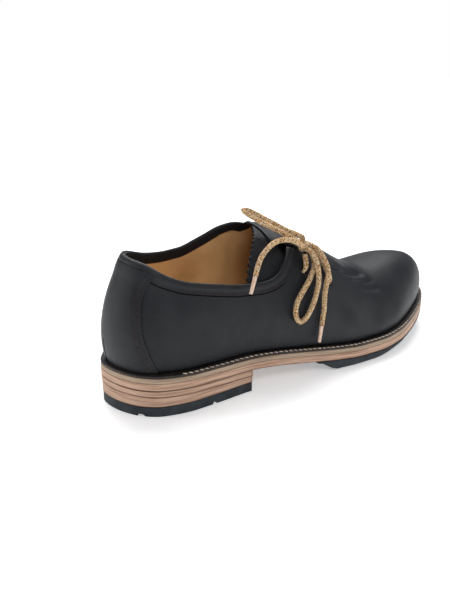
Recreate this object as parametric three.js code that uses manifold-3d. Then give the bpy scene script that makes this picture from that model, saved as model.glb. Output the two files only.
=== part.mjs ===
// A side-laced haferl shoe for the right foot: a black leather upper with a diagonal slit on the
// outer side of the instep, a pinked tongue, a heel counter, and a welted leather sole with a
// stacked heel. Millimetres, +X to the toe, +Z up, the outer (lateral) side towards -Y.
import * as THREE from "three";
import { mergeVertices } from "three/addons/utils/BufferGeometryUtils.js";
import Module from "manifold-3d";

const wasm = await Module();
wasm.setup();

// Driving sizes of the sole
const SOLE_LENGTH = 300;
const BALL_WIDTH = 102;
const HEEL_LENGTH = 90;
const SEAT_RISE = 11.9; // outsole's underside at the back of the heel, above the ball
const TOE_SPRING = 10.7; // outsole's underside at the toe, above the ball
const TREAD_THICKNESS = 6.5; // rubber half sole at the ball
const TREAD_START = 0.487; // share of the length where the rubber half sole begins
const REST_START = 0.54; // shares of the length between which the half sole lies on the floor
const REST_END = 0.66;
const BEVEL_RISE = 2.4; // rounding of the half sole's lower edge
const BEVEL_WIDTH = 8;
const OUTSOLE_THICKNESS = 4.8;
const MIDSOLE_THICKNESS = 3.2;
const WELT_THICKNESS = 1.6;
const WELT_WIDTH = 13;
const INSOLE_THICKNESS = 3;
const LIFT_THICKNESS = 4;
const TOP_PIECE_THICKNESS = 6.6;
const HEEL_TAPER = 0.8; // how far the top piece stands in from the edge of the outsole
const GROOVE_DEPTH = 1.5;
const GROOVE_WIDTH = 3;
const GROOVES = [0.13, 0.66]; // places of the grooves, as shares of the heel's length
const GLUE_LINE = 0.3; // the gap left between two glued pieces

// Driving sizes of the upper
const LEDGE = 4.8; // how far the welt stands out past the upper
const WALL = 2.2; // leather and lining together
const DIP_LENGTH = 24; // where the collar climbs from its dip to the throat
const BACK_HEIGHT = 71; // collar at the back seam, above the welt
const INSTEP_HEIGHT = 85; // crown of the last at the throat, above the welt
const HEEL_CENTRE = 45; // where the heel's sections fan out from
const TOE_CENTRE = 252; // where the toe's sections fan out from
const THROAT = 121; // front edge of the mouth, on the crown
const LIP_SETBACK = 12; // how much further forward the slit's lateral lip begins
const SLIT_LENGTH = 62;
const SLIT_GAP = 4; // width of the slit at the throat
const CORNER = THROAT + LIP_SETBACK;
const SLIT_END = CORNER + SLIT_LENGTH;

// Driving sizes of the small pieces
const COUNTER_THICKNESS = 1.2;
const COUNTER_DROP = 1.5; // top of the counter below the collar
const TONGUE_THICKNESS = 1.8;
const TONGUE_CLEARANCE = 0.7;
const TONGUE_LAP = 17; // how far the tongue reaches past the slit
const TONGUE_FRONT = SLIT_END + TONGUE_LAP;
const TOOTH_DEPTH = 1.6;
const TEETH = 20;
const LACE_DIAMETER = 4;
const LACE_CLEARANCE = 0.6; // round the lace, in its eyelets and under the flaps
const LACE_ROOM = LACE_DIAMETER + 2 * LACE_CLEARANCE; // how far the lace pushes the tongue down
const EYELET_SETBACK = 4.6; // rear eyelets in front of the slit's corner
const EYELET_SPACING = 21.4;
const LACING_SPREAD = 26; // how far along the foot the lace's dent in the tongue reaches
const TIP_DIAMETER = 3.2;
const TIP_LENGTH = 12;
const JOIN_GAP = 0.3; // between the lace's pieces where they meet

// Edge of the sole, as shares of half the ball width, at shares of the length
const SOLE_EDGE = [
  { at: 0, lateral: 0, medial: 0 },
  { at: 0.0125, lateral: 0.36, medial: 0.22 },
  { at: 0.04, lateral: 0.615, medial: 0.425 },
  { at: 0.08, lateral: 0.77, medial: 0.555 },
  { at: 0.15, lateral: 0.843, medial: 0.635 },
  { at: 0.21, lateral: 0.833, medial: 0.645 },
  { at: 0.3, lateral: 0.805, medial: 0.62 },
  { at: 0.4, lateral: 0.86, medial: 0.64 },
  { at: 0.54, lateral: 0.96, medial: 0.81 },
  { at: 0.61, lateral: 1, medial: 0.92 },
  { at: 0.68, lateral: 1, medial: 0.99 },
  { at: 0.75, lateral: 0.945, medial: 1 },
  { at: 0.813, lateral: 0.81, medial: 0.95 },
  { at: 0.866, lateral: 0.655, medial: 0.865 },
  { at: 0.917, lateral: 0.475, medial: 0.725 },
  { at: 0.96, lateral: 0.285, medial: 0.54 },
  { at: 1, lateral: -0.12, medial: 0.12 },
];

// Underside of the sole: seat is a share of SEAT_RISE and toe of TOE_SPRING, both for the outsole, and
// tread is the level of the half sole's underside above the floor, as a share of TREAD_THICKNESS
const SOLE_PROFILE = [
  { at: 0, seat: 1, toe: 0, tread: 1 },
  { at: 0.11, seat: 0.9, toe: 0, tread: 1 },
  { at: 0.27, seat: 0.78, toe: 0, tread: 1 },
  { at: 0.373, seat: 0.62, toe: 0, tread: 1 },
  { at: 0.427, seat: 0.46, toe: 0, tread: 1 },
  { at: 0.487, seat: 0.28, toe: 0, tread: 1.05 },
  { at: REST_START, seat: 0.125, toe: 0, tread: 0 },
  { at: 0.6, seat: 0.03, toe: 0, tread: 0 },
  { at: REST_END, seat: 0, toe: 0, tread: 0 },
  { at: 0.71, seat: 0, toe: 0.05, tread: 0.3 },
  { at: 0.757, seat: 0, toe: 0.16, tread: 0.64 },
  { at: 0.82, seat: 0, toe: 0.34, tread: 1 },
  { at: 0.9, seat: 0, toe: 0.6, tread: 1.4 },
  { at: 1, seat: 0, toe: 1, tread: 2.02 },
];

// Sections of the upper: crown is the height above the welt as a share of INSTEP_HEIGHT, shift is the
// crown's place across as a share of half the ball width, ledge is the welt's width beyond the upper
// as a share of LEDGE, top is how full a section is at the crown and the walls how upright its sides
// are, where 2 is an ellipse, and swell is how far a side bulges out over the welt, in ledges
const SECTIONS = [
  { at: 0, crown: 1.03, shift: -0.06, ledge: 1, top: 2.1, wallOut: 2.08, wallIn: 2.08, swellOut: 0.65, swellIn: 0.65 },
  { at: 0.03, crown: 1.03, shift: -0.06, ledge: 0.9, top: 2.1, wallOut: 1.98, wallIn: 1.98, swellOut: 0.6, swellIn: 0.6 },
  { at: 0.08, crown: 1.03, shift: -0.07, ledge: 1, top: 2.15, wallOut: 1.97, wallIn: 2.07, swellOut: 0.5, swellIn: 0.6 },
  { at: 0.15, crown: 1.03, shift: -0.07, ledge: 1, top: 2.15, wallOut: 1.96, wallIn: 2.16, swellOut: 0.5, swellIn: 0.6 },
  { at: 0.28, crown: 1.02, shift: 0.0, ledge: 1, top: 2.15, wallOut: 2.1, wallIn: 2.4, swellOut: 0.4, swellIn: 0.9 },
  { at: 0.38, crown: 0.965, shift: 0.14, ledge: 1, top: 2.15, wallOut: 2.5, wallIn: 2.2, swellOut: 0.4, swellIn: 0.9 },
  { at: 0.44, crown: 0.945, shift: 0.21, ledge: 1, top: 2.15, wallOut: 3.3, wallIn: 2.0, swellOut: 0.4, swellIn: 0.8 },
  { at: 0.5, crown: 0.875, shift: 0.2, ledge: 1, top: 2.15, wallOut: 2.8, wallIn: 1.9, swellOut: 0.5, swellIn: 0.6 },
  { at: 0.55, crown: 0.8, shift: 0.18, ledge: 1, top: 2.15, wallOut: 2.2, wallIn: 1.7, swellOut: 0.6, swellIn: 0.6 },
  { at: 0.6, crown: 0.727, shift: 0.15, ledge: 1, top: 2.15, wallOut: 1.7, wallIn: 1.55, swellOut: 0.7, swellIn: 0.6 },
  { at: 0.665, crown: 0.603, shift: 0.12, ledge: 1, top: 2.15, wallOut: 1.35, wallIn: 1.5, swellOut: 0.7, swellIn: 0.6 },
  { at: 0.73, crown: 0.508, shift: 0.1, ledge: 1, top: 2.2, wallOut: 1.5, wallIn: 1.65, swellOut: 0.6, swellIn: 0.5 },
  { at: 0.84, crown: 0.483, shift: 0.1, ledge: 1, top: 2.4, wallOut: 2.3, wallIn: 2.4, swellOut: 0.3, swellIn: 0.3 },
  { at: 0.92, crown: 0.465, shift: 0.1, ledge: 0.9, top: 2.6, wallOut: 3.1, wallIn: 3.1, swellOut: 0.3, swellIn: 0.3 },
  { at: 1, crown: 0.46, shift: 0.1, ledge: 0.6, top: 2.8, wallOut: 4.0, wallIn: 4.0, swellOut: 0.3, swellIn: 0.3 },
];

// Height of the collar above the welt, as shares of BACK_HEIGHT
const COLLAR = [
  { at: 0, lateral: 0.99, medial: 0.99 },
  { at: 0.03, lateral: 0.968, medial: 0.972 },
  { at: 0.077, lateral: 0.913, medial: 0.93 },
  { at: 0.128, lateral: 0.836, medial: 0.895 },
  { at: 0.178, lateral: 0.767, medial: 0.88 },
  { at: 0.23, lateral: 0.717, medial: 0.886 },
  { at: 0.283, lateral: 0.681, medial: 0.972 },
  { at: 0.334, lateral: 0.673, medial: 1.1 },
  { at: 0.364, lateral: 0.691, medial: 1.12 },
  { at: 0.392, lateral: 0.749, medial: 1.125 },
  { at: 0.41, lateral: 0.83, medial: 1.125 },
  { at: 0.432, lateral: 0.945, medial: 1.125 },
];

// Line of the slit on the lateral side and of the throat's corner on the medial side: 0 on the crown,
// 1 at the welt
const SLIT_LINE = [
  { at: 0, lateral: 0.4, medial: 0.1 },
  { at: 0.5, lateral: 0.4, medial: 0.16 },
  { at: 0.57, lateral: 0.405, medial: 0.24 },
  { at: 0.61, lateral: 0.375, medial: 0.26 },
  { at: 0.65, lateral: 0.365, medial: 0.3 },
  { at: 0.8, lateral: 0.42, medial: 0.42 },
  { at: 1, lateral: 0.42, medial: 0.42 },
];

// Front edge of the counter: base is its place on the welt line and rise the share of its height
const COUNTER_EDGE = [
  { rise: 0, base: 0.068 },
  { rise: 0.23, base: 0.051 },
  { rise: 0.48, base: 0.039 },
  { rise: 0.72, base: 0.036 },
  { rise: 0.9, base: 0.044 },
  { rise: 1, base: 0.058 },
];

// Eyelets: x along the foot, lean as in SLIT_LINE with the lateral side below 0
const REAR_EYELETS = CORNER + EYELET_SETBACK;
const FRONT_EYELETS = REAR_EYELETS + EYELET_SPACING;
const LACING_MIDDLE = (REAR_EYELETS + FRONT_EYELETS) / 2;
const EYELETS = {
  lateralRear: { x: REAR_EYELETS, lean: -0.635 },
  lateralFront: { x: FRONT_EYELETS, lean: -0.615 },
  medialFront: { x: FRONT_EYELETS, lean: -0.2 },
  medialRear: { x: REAR_EYELETS, lean: -0.2 },
};

// The bow is tied over the slit and hangs down the lateral side. Its routes are chosen by hand and
// measured from the knot's centre.
const KNOT = { setback: 8.4, lean: -0.424, lift: 5.6, radii: [5, 4.2, 3.8] };
const BOW = {
  lace_loop_upper: [
    [-0.7, 1.6, 5.8], [-4.6, 3.2, 7.9], [-10.4, 7, 10.7], [-16.8, 11.2, 14.8], [-23.3, 14.4, 18.8],
    [-29.6, 16.4, 22.7], [-36.6, 16.8, 26.4], [-42.4, 14.4, 27.4], [-41.7, 11, 25.2],
    [-37.3, 9, 22.4], [-31.5, 6.9, 18.7], [-24.8, 4.4, 14.9], [-18.9, 2.1, 11.5],
    [-12.5, 0.4, 7.6], [-6.6, -0.3, 4.1],
  ],
  lace_loop_lower: [
    [-0.3, -4.8, -2.2], [0.5, -9, -4.4], [1.2, -12.5, -9.3], [1.2, -15, -16], [0.6, -16.2, -22.7],
    [-2, -17.5, -29.9], [-5.2, -18.4, -36.4], [-9, -18.6, -42.9], [-12.6, -18.2, -47.1],
    [-16.2, -18.1, -48.3], [-19.2, -17.6, -45.2], [-20.1, -17.2, -39.6], [-18, -16.6, -33.7],
    [-13.2, -15.9, -27.6], [-8.2, -14.7, -23], [-3.1, -12.2, -18.8], [2, -9, -14.7],
    [4.8, -5.6, -10.2], [5, -3, -6.4],
  ],
  lace_end_rear: [
    [-5.4, -4.4, 0.8], [-9.6, -5, 3.8], [-15.2, -5.4, 6.6], [-23.2, -5, 8], [-30.7, -5.2, 6.9],
    [-37.3, -6, 3.4], [-42.8, -7.6, -0.7], [-47.2, -9.8, -6], [-50, -11.2, -11.2],
  ],
  lace_end_front: [
    [5.6, -2, -0.6], [8.2, -5.6, -3], [9.4, -9.4, -7.2], [11, -11.8, -12.5], [10.9, -14.4, -17.7],
    [8.5, -16.1, -23.4], [6.4, -17.1, -29.4], [4.6, -18.6, -36], [3.4, -19.9, -42.7],
    [2.3, -20.2, -48.4], [1.4, -20.4, -53.6],
  ],
};

// A smooth curve through a table's column that never overshoots its rows
function through(table, column, key = "at") {
  const xs = table.map((row) => row[key]);
  const ys = table.map((row) => row[column]);
  const slopes = xs.slice(1).map((x, i) => (ys[i + 1] - ys[i]) / (x - xs[i]));
  const tangents = xs.map((_, i) => {
    if (i === 0) return slopes[0];
    if (i === xs.length - 1) return slopes[i - 1];
    if (slopes[i - 1] * slopes[i] <= 0) return 0;
    const before = xs[i] - xs[i - 1];
    const after = xs[i + 1] - xs[i];
    const w1 = 2 * after + before;
    const w2 = after + 2 * before;
    return (w1 + w2) / (w1 / slopes[i - 1] + w2 / slopes[i]);
  });
  return (x) => {
    let i = xs.findIndex((_, k) => k < xs.length - 2 && x < xs[k + 1]);
    if (i < 0) i = xs.length - 2;
    const span = xs[i + 1] - xs[i];
    const t = Math.min(Math.max((x - xs[i]) / span, 0), 1);
    const t2 = t * t;
    const t3 = t2 * t;
    return (
      (2 * t3 - 3 * t2 + 1) * ys[i] +
      (t3 - 2 * t2 + t) * span * tangents[i] +
      (3 * t2 - 2 * t3) * ys[i + 1] +
      (t3 - t2) * span * tangents[i + 1]
    );
  };
}

// A station is an angle share from 0 at the heel's back to 1 at the toe, so that both ends are round
const stationOf = (share) => Math.acos(1 - 2 * share) / Math.PI;
const shareOf = (station) => (1 - Math.cos(Math.PI * station)) / 2;
const byStation = (table, column) =>
  through(
    table.map((row) => ({ at: stationOf(row.at), value: row[column] })),
    "value",
  );

const edgeWidth = {
  lateral: byStation(SOLE_EDGE, "lateral"),
  medial: byStation(SOLE_EDGE, "medial"),
};
const SIDE = { lateral: -1, medial: 1 };
const HALF_WIDTH = BALL_WIDTH / 2;

// Point on the sole's edge, moved in by some distance, in plan
function edgePoint(station, side, inset = 0) {
  const at = (s) => [
    SOLE_LENGTH * shareOf(s),
    SIDE[side] * HALF_WIDTH * edgeWidth[side](Math.min(Math.max(s, 0), 1)),
  ];
  const [x, y] = at(station);
  if (inset === 0) return [x, y];
  if (station < 1e-6) return [inset, 0];
  if (station > 1 - 1e-6) return [SOLE_LENGTH - inset, y];
  const step = 0.004;
  const [x0, y0] = at(Math.max(station - step, 0));
  const [x1, y1] = at(Math.min(station + step, 1));
  const size = Math.hypot(x1 - x0, y1 - y0);
  return [
    x + (inset * SIDE[side] * (y1 - y0)) / size,
    y - (inset * SIDE[side] * (x1 - x0)) / size,
  ];
}

// Levels of the sole's layers at a distance from the heel's back
const seat = through(SOLE_PROFILE, "seat");
const toeLift = through(SOLE_PROFILE, "toe");
const ballLevel = TREAD_THICKNESS + GLUE_LINE;
const outsoleUnder = (x) => {
  const share = x / SOLE_LENGTH;
  return ballLevel + SEAT_RISE * seat(share) + TOE_SPRING * toeLift(share);
};
const outsoleTop = (x) => outsoleUnder(x) + OUTSOLE_THICKNESS;
const midsoleUnder = (x) => outsoleTop(x) + GLUE_LINE;
const midsoleTop = (x) => midsoleUnder(x) + MIDSOLE_THICKNESS;
const weltUnder = (x) => midsoleTop(x) + GLUE_LINE;
const weltTop = (x) => weltUnder(x) + WELT_THICKNESS;
const upperUnder = (x) => weltTop(x) + GLUE_LINE;

// A closed mesh from merged vertices and triangles
function solidGeometry(positions, triangles) {
  const geometry = new THREE.BufferGeometry();
  geometry.setAttribute("position", new THREE.Float32BufferAttribute(positions.flat(), 3));
  geometry.setIndex(triangles.flat());
  return geometry;
}

// Gathers corners under one number each, so that neighbours share them
class Corners {
  constructor() {
    this.points = [];
    this.keys = new Map();
  }
  add(p) {
    const key = p.map((v) => Math.round(v * 500)).join(",");
    if (!this.keys.has(key)) {
      this.keys.set(key, this.points.length);
      this.points.push(p);
    }
    return this.keys.get(key);
  }
}

// Splits a four-sided face into triangles, leaving out those that have no width
function splitFace([a, b, c, d]) {
  return [
    [a, b, c],
    [a, c, d],
  ].filter(([p, q, r]) => p !== q && q !== r && r !== p);
}

// A sheet of some thickness: its faces are copied at two distances along their normals, and its free
// edges are closed. A third distance may be lift, by which each corner is moved out as a whole, and
// corners for which level returns true are moved level, so that they sit flat.
function thickSheet(corners, faces, outer, inner, { lift = () => 0, level = () => false } = {}) {
  const triangles = faces.flatMap(splitFace);
  const normals = corners.points.map(() => new THREE.Vector3());
  const points = corners.points.map((p) => new THREE.Vector3(...p));
  for (const [a, b, c] of triangles) {
    const normal = points[b].clone().sub(points[a]).cross(points[c].clone().sub(points[a]));
    for (const k of [a, b, c]) normals[k].add(normal);
  }
  const moved = (distance) =>
    points.map((p, k) => {
      const n = normals[k].clone();
      if (level(k)) n.z = 0;
      return p.clone().addScaledVector(n.normalize(), distance + lift(p.x)).toArray();
    });
  const count = points.length;
  const uses = new Map();
  for (const [a, b, c] of triangles) {
    for (const [p, q] of [[a, b], [b, c], [c, a]]) uses.set(p + "," + q, [p, q]);
  }
  const rim = [...uses.values()].filter(([p, q]) => !uses.has(q + "," + p));
  const closed = [
    ...triangles,
    ...triangles.map(([a, b, c]) => [a + count, c + count, b + count]),
    ...rim.flatMap(([p, q]) => [
      [p, q + count, q],
      [p, p + count, q + count],
    ]),
  ];
  return solidGeometry([...moved(outer), ...moved(inner)], closed);
}

// Stations along the length: closer together round the heel, the throat and the toe
function stationsBetween(from, to, steps) {
  const first = stationOf(from / SOLE_LENGTH);
  const last = stationOf(to / SOLE_LENGTH);
  return Array.from({ length: steps + 1 }, (_, k) => first + ((last - first) * k) / steps);
}

// A plate of the sole between two heights, from station to station, moved in from the edge by a
// distance that may differ from station to station. Its lower edge may be bevelled.
function plate(stations, inset, top, under, bevelWidth = 0, bevelRise = 0) {
  const corners = new Corners();
  const bevelled = bevelWidth > 0;
  const rows = stations.map((s) => {
    const place = (side, level, further = 0, raise = 0) => {
      const [x, y] = edgePoint(s, side, inset(s) + further);
      return corners.add([x, y, level(x) + raise]);
    };
    const loop = [
      place("lateral", top),
      place("lateral", under, 0, bevelRise),
      place("medial", under, 0, bevelRise),
      place("medial", top),
    ];
    if (bevelled) {
      loop.splice(2, 0, place("lateral", under, bevelWidth), place("medial", under, bevelWidth));
    }
    return loop;
  });
  const faces = [];
  for (let k = 0; k + 1 < rows.length; k += 1) {
    rows[k].forEach((corner, j) => {
      const next = (j + 1) % rows[k].length;
      faces.push([corner, rows[k][next], rows[k + 1][next], rows[k + 1][j]]);
    });
  }
  const triangles = faces.flatMap(splitFace);
  const cap = (loop) => loop.slice(1, -1).map((corner, j) => [loop[0], corner, loop[j + 2]]);
  const ends = [...cap(rows[0].slice().reverse()), ...cap(rows[rows.length - 1])];
  const real = ends.filter(([a, b, c]) => a !== b && b !== c && c !== a);
  return tidy(solidGeometry(corners.points, [...triangles, ...real]));
}

// Merges equal corners and drops faces that have no width
function tidy(geometry) {
  const merged = mergeVertices(geometry, 1e-3);
  const index = merged.index.array;
  const kept = [];
  for (let k = 0; k < index.length; k += 3) {
    const [a, b, c] = [index[k], index[k + 1], index[k + 2]];
    if (a !== b && b !== c && c !== a) kept.push(a, b, c);
  }
  merged.setIndex(kept);
  return merged;
}

// Joins and cuts
function toSolid(geometry) {
  const bare = new THREE.BufferGeometry();
  bare.setAttribute("position", geometry.getAttribute("position"));
  bare.setIndex(geometry.index);
  const merged = mergeVertices(bare, 1e-4);
  return new wasm.Manifold(
    new wasm.Mesh({
      numProp: 3,
      vertProperties: new Float32Array(merged.attributes.position.array),
      triVerts: new Uint32Array(merged.index.array),
    }),
  );
}

function toGeometry(solid) {
  const mesh = solid.getMesh();
  const geometry = new THREE.BufferGeometry();
  geometry.setAttribute("position", new THREE.BufferAttribute(mesh.vertProperties, 3));
  geometry.setIndex(new THREE.BufferAttribute(mesh.triVerts, 1));
  return geometry;
}

// The upper's outer form
const crownShare = through(SECTIONS, "crown");
const crownShift = through(SECTIONS, "shift");
const topShape = byStation(SECTIONS, "top");
const ledgeShare = byStation(SECTIONS, "ledge");
const ledgeAt = (station) => LEDGE * ledgeShare(station);
const wallShape = {
  lateral: byStation(SECTIONS, "wallOut"),
  medial: byStation(SECTIONS, "wallIn"),
};
const swellShape = {
  lateral: byStation(SECTIONS, "swellOut"),
  medial: byStation(SECTIONS, "swellIn"),
};
const FAN_BLEND = 14; // how softly the fans of heel and toe join the straight sections

// The crown's point over a station
function crownPoint(station) {
  const x = SOLE_LENGTH * shareOf(station);
  const soft = (v) => FAN_BLEND * Math.log1p(Math.exp(v / FAN_BLEND));
  const fromHeel = HEEL_CENTRE + soft(x - HEEL_CENTRE);
  const along = TOE_CENTRE - soft(TOE_CENTRE - fromHeel);
  const share = along / SOLE_LENGTH;
  return [
    along,
    HALF_WIDTH * crownShift(share),
    upperUnder(along) + INSTEP_HEIGHT * crownShare(share),
  ];
}

// Point of a section at an angle, from 0 at the welt to a quarter turn at the crown
function sectionPoint(station, side, angle) {
  const [bx, by] = edgePoint(station, side, ledgeAt(station));
  const [ox, oy] = edgePoint(station, side, ledgeAt(station) - 1);
  const crown = crownPoint(station);
  const base = upperUnder(bx);
  const rise = Math.pow(Math.sin(angle), 2 / wallShape[side](station));
  const out = Math.pow(Math.max(Math.cos(angle), 0), 2 / topShape(station));
  const swell = LEDGE * swellShape[side](station) * 6.75 * rise * (1 - rise) ** 2;
  return [
    crown[0] + (bx - crown[0]) * out + (ox - bx) * swell,
    crown[1] + (by - crown[1]) * out + (oy - by) * swell,
    base + (crown[2] - base) * rise,
  ];
}

const angleAtRise = (station, side, rise) =>
  Math.asin(Math.min(Math.max(rise, 0), 1) ** (wallShape[side](station) / 2));
const angleAtLean = (lean) => (Math.PI / 2) * (1 - lean);

// Angle at which a section is some height above the welt
function angleAtHeight(station, side, height) {
  const [bx] = edgePoint(station, side, ledgeAt(station));
  const span = crownPoint(station)[2] - upperUnder(bx);
  return angleAtRise(station, side, height / span);
}

const slitLean = {
  lateral: byStation(SLIT_LINE, "lateral"),
  medial: byStation(SLIT_LINE, "medial"),
};
const throatStation = stationOf(THROAT / SOLE_LENGTH);
const cornerStation = { lateral: stationOf(CORNER / SOLE_LENGTH), medial: throatStation };
const slitAngle = (station, side) => angleAtLean(slitLean[side](station));

// Height of a section above the welt at an angle
function heightAtAngle(station, side, angle) {
  const [bx] = edgePoint(station, side, ledgeAt(station));
  return sectionPoint(station, side, angle)[2] - upperUnder(bx);
}

// The collar ends at the throat, at the corner of the slit
const collarHeight = Object.fromEntries(
  ["lateral", "medial"].map((side) => {
    const end = cornerStation[side];
    const rows = COLLAR.map((row) => ({ at: stationOf(row.at), value: row[side] })).filter(
      (row) => row.at < end - 0.01,
    );
    rows.push({ at: end, value: heightAtAngle(end, side, slitAngle(end, side)) / BACK_HEIGHT });
    return [side, through(rows, "value")];
  }),
);

// Angle of the line that a side of the upper ends at: the collar, then the slit
function partingAngle(station, side) {
  if (station >= cornerStation[side] - 1e-9) return slitAngle(station, side);
  return angleAtHeight(station, side, BACK_HEIGHT * collarHeight[side](station));
}

// Points of a section between two angles, evenly spaced along it
function sectionRun(station, side, from, to, steps) {
  const fine = 60;
  const points = [];
  const sizes = [0];
  const riseFrom = Math.sin(from) ** (2 / wallShape[side](station));
  const riseTo = Math.sin(to) ** (2 / wallShape[side](station));
  for (let k = 0; k <= fine; k += 1) {
    const byRise = angleAtRise(station, side, riseFrom + ((riseTo - riseFrom) * k) / fine);
    const byAngle = from + ((to - from) * k) / fine;
    points.push(sectionPoint(station, side, (byRise + byAngle) / 2));
    if (k > 0) {
      const [p, q] = points.slice(-2);
      sizes.push(sizes[k - 1] + Math.hypot(q[0] - p[0], q[1] - p[1], q[2] - p[2]));
    }
  }
  const run = [points[0]];
  for (let j = 1; j < steps; j += 1) {
    const wanted = (sizes[fine] * j) / steps;
    const k = sizes.findIndex((size) => size >= wanted);
    const t = (wanted - sizes[k - 1]) / (sizes[k] - sizes[k - 1]);
    run.push(points[k].map((v, axis) => points[k - 1][axis] + t * (v - points[k - 1][axis])));
  }
  run.push(points[fine]);
  return run;
}

const QUARTER = Math.PI / 2;
const WALL_STEPS = 10;
const TOP_STEPS = 4;

// Moves a lip of the slit away from its middle line
function slitLip(station, point, towards) {
  const x = SOLE_LENGTH * shareOf(station);
  if (station < throatStation - 1e-9 || x >= SLIT_END) return point;
  const along = Math.max((x - CORNER) / (SLIT_END - CORNER), 0);
  const half = (SLIT_GAP / 2) * (1 - along * along);
  const size = Math.hypot(...towards.map((v, axis) => v - point[axis]));
  return point.map((v, axis) => v + ((towards[axis] - v) * half) / size);
}

// The upper: side walls all round, and the vamp's top in front of the throat
function upperGeometry() {
  const corners = new Corners();
  const faces = [];
  const stations = [
    ...stationsBetween(0, THROAT - DIP_LENGTH, 19).slice(0, -1),
    ...stationsBetween(THROAT - DIP_LENGTH, THROAT, 6).slice(0, -1),
    ...stationsBetween(THROAT, CORNER, 4).slice(0, -1),
    ...stationsBetween(CORNER, SLIT_END, 9).slice(0, -1),
    ...stationsBetween(SLIT_END, SOLE_LENGTH, 14),
  ];
  const flat = new Set();
  const columns = stations.map((s) => {
    const outWall = sectionRun(s, "lateral", 0, partingAngle(s, "lateral"), WALL_STEPS);
    const inWall = sectionRun(s, "medial", 0, partingAngle(s, "medial"), WALL_STEPS);
    const outTop = sectionRun(s, "lateral", slitAngle(s, "lateral"), QUARTER, TOP_STEPS);
    const inTop = sectionRun(s, "medial", slitAngle(s, "medial"), QUARTER, TOP_STEPS);
    const top = [...outTop, ...inTop.slice(0, -1).reverse()];
    if (s >= cornerStation.lateral - 1e-9) {
      outWall.push(slitLip(s, outWall.pop(), outWall[WALL_STEPS - 1]));
    }
    top[0] = slitLip(s, top[0], top[1]);
    const wall = { out: outWall.map((p) => corners.add(p)), in: inWall.map((p) => corners.add(p)) };
    flat.add(wall.out[0]);
    flat.add(wall.in[0]);
    return { s, ...wall, top: s >= throatStation - 1e-9 ? top.map((p) => corners.add(p)) : null };
  });
  for (let i = 0; i + 1 < columns.length; i += 1) {
    const here = columns[i];
    const next = columns[i + 1];
    for (let j = 0; j < WALL_STEPS; j += 1) {
      faces.push([here.out[j], next.out[j], next.out[j + 1], here.out[j + 1]]);
      faces.push([here.in[j + 1], next.in[j + 1], next.in[j], here.in[j]]);
    }
    if (!here.top) continue;
    for (let j = 0; j < 2 * TOP_STEPS; j += 1) {
      faces.push([here.top[j], next.top[j], next.top[j + 1], here.top[j + 1]]);
    }
  }
  return thickSheet(corners, faces, 0, -WALL, { level: (k) => flat.has(k) });
}

// The heel counter: a panel over the back of the upper, from the welt to below the collar
const counterBase = through(COUNTER_EDGE, "base", "rise");
function counterGeometry() {
  const corners = new Corners();
  const faces = [];
  const around = 7;
  const upward = 9;
  const flat = new Set();
  const grid = [];
  for (let i = -around; i <= around; i += 1) {
    const side = i < 0 ? "lateral" : "medial";
    const column = [];
    for (let j = 0; j <= upward; j += 1) {
      const rise = j / upward;
      const station = stationOf(counterBase(rise)) * (Math.abs(i) / around);
      const full = BACK_HEIGHT * collarHeight[side](station) - COUNTER_DROP;
      const angle = angleAtHeight(station, side, full * rise);
      column.push(corners.add(sectionPoint(station, side, angle)));
    }
    flat.add(column[0]);
    grid.push(column);
  }
  for (let i = 0; i + 1 < grid.length; i += 1) {
    for (let j = 0; j < upward; j += 1) {
      faces.push([grid[i][j], grid[i][j + 1], grid[i + 1][j + 1], grid[i + 1][j]]);
    }
  }
  const clear = 2 * GLUE_LINE;
  const level = (k) => flat.has(k);
  return thickSheet(corners, faces, clear + COUNTER_THICKNESS, clear, { level });
}

// The tongue: under the throat and the slit, with a pinked edge that stands back into the mouth
const TONGUE_EDGE = [
  { lean: -0.66, rear: 0.305 },
  { lean: -0.5, rear: 0.328 },
  { lean: -0.36, rear: 0.353 },
  { lean: -0.19, rear: 0.38 },
  { lean: 0, rear: 0.394 },
  { lean: 0.28, rear: 0.4 },
];
const tongueRear = through(TONGUE_EDGE, "rear", "lean");

// Point of the upper's form: lean is 0 on the crown, -1 at the lateral side's welt, 1 at the medial
function formPoint(x, lean) {
  const side = lean < 0 ? "lateral" : "medial";
  return sectionPoint(stationOf(x / SOLE_LENGTH), side, angleAtLean(Math.abs(lean)));
}

function tongueGeometry() {
  const corners = new Corners();
  const faces = [];
  const columns = TEETH * 2;
  const rows = 7;
  const from = TONGUE_EDGE[0].lean;
  const to = TONGUE_EDGE[TONGUE_EDGE.length - 1].lean;
  const grid = [];
  for (let j = 0; j <= columns; j += 1) {
    const share = j / columns;
    const lean = from + (to - from) * share;
    const rear = SOLE_LENGTH * tongueRear(lean) + (j % 2 ? TOOTH_DEPTH : 0);
    const front = TONGUE_FRONT - (TONGUE_FRONT - CORNER) * 0.4 * Math.abs(2 * share - 1) ** 3;
    const column = [];
    for (let i = 0; i <= rows; i += 1) {
      column.push(corners.add(formPoint(rear + ((front - rear) * i) / rows, lean)));
    }
    grid.push(column);
  }
  for (let j = 0; j < columns; j += 1) {
    for (let i = 0; i < rows; i += 1) {
      faces.push([grid[j][i], grid[j + 1][i], grid[j + 1][i + 1], grid[j][i + 1]].reverse());
    }
  }
  const outer = -WALL - TONGUE_CLEARANCE;
  const lift = (x) => -LACE_ROOM * Math.exp(-(((x - LACING_MIDDLE) / LACING_SPREAD) ** 4));
  return thickSheet(corners, faces, outer, outer - TONGUE_THICKNESS, { lift });
}

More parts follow.
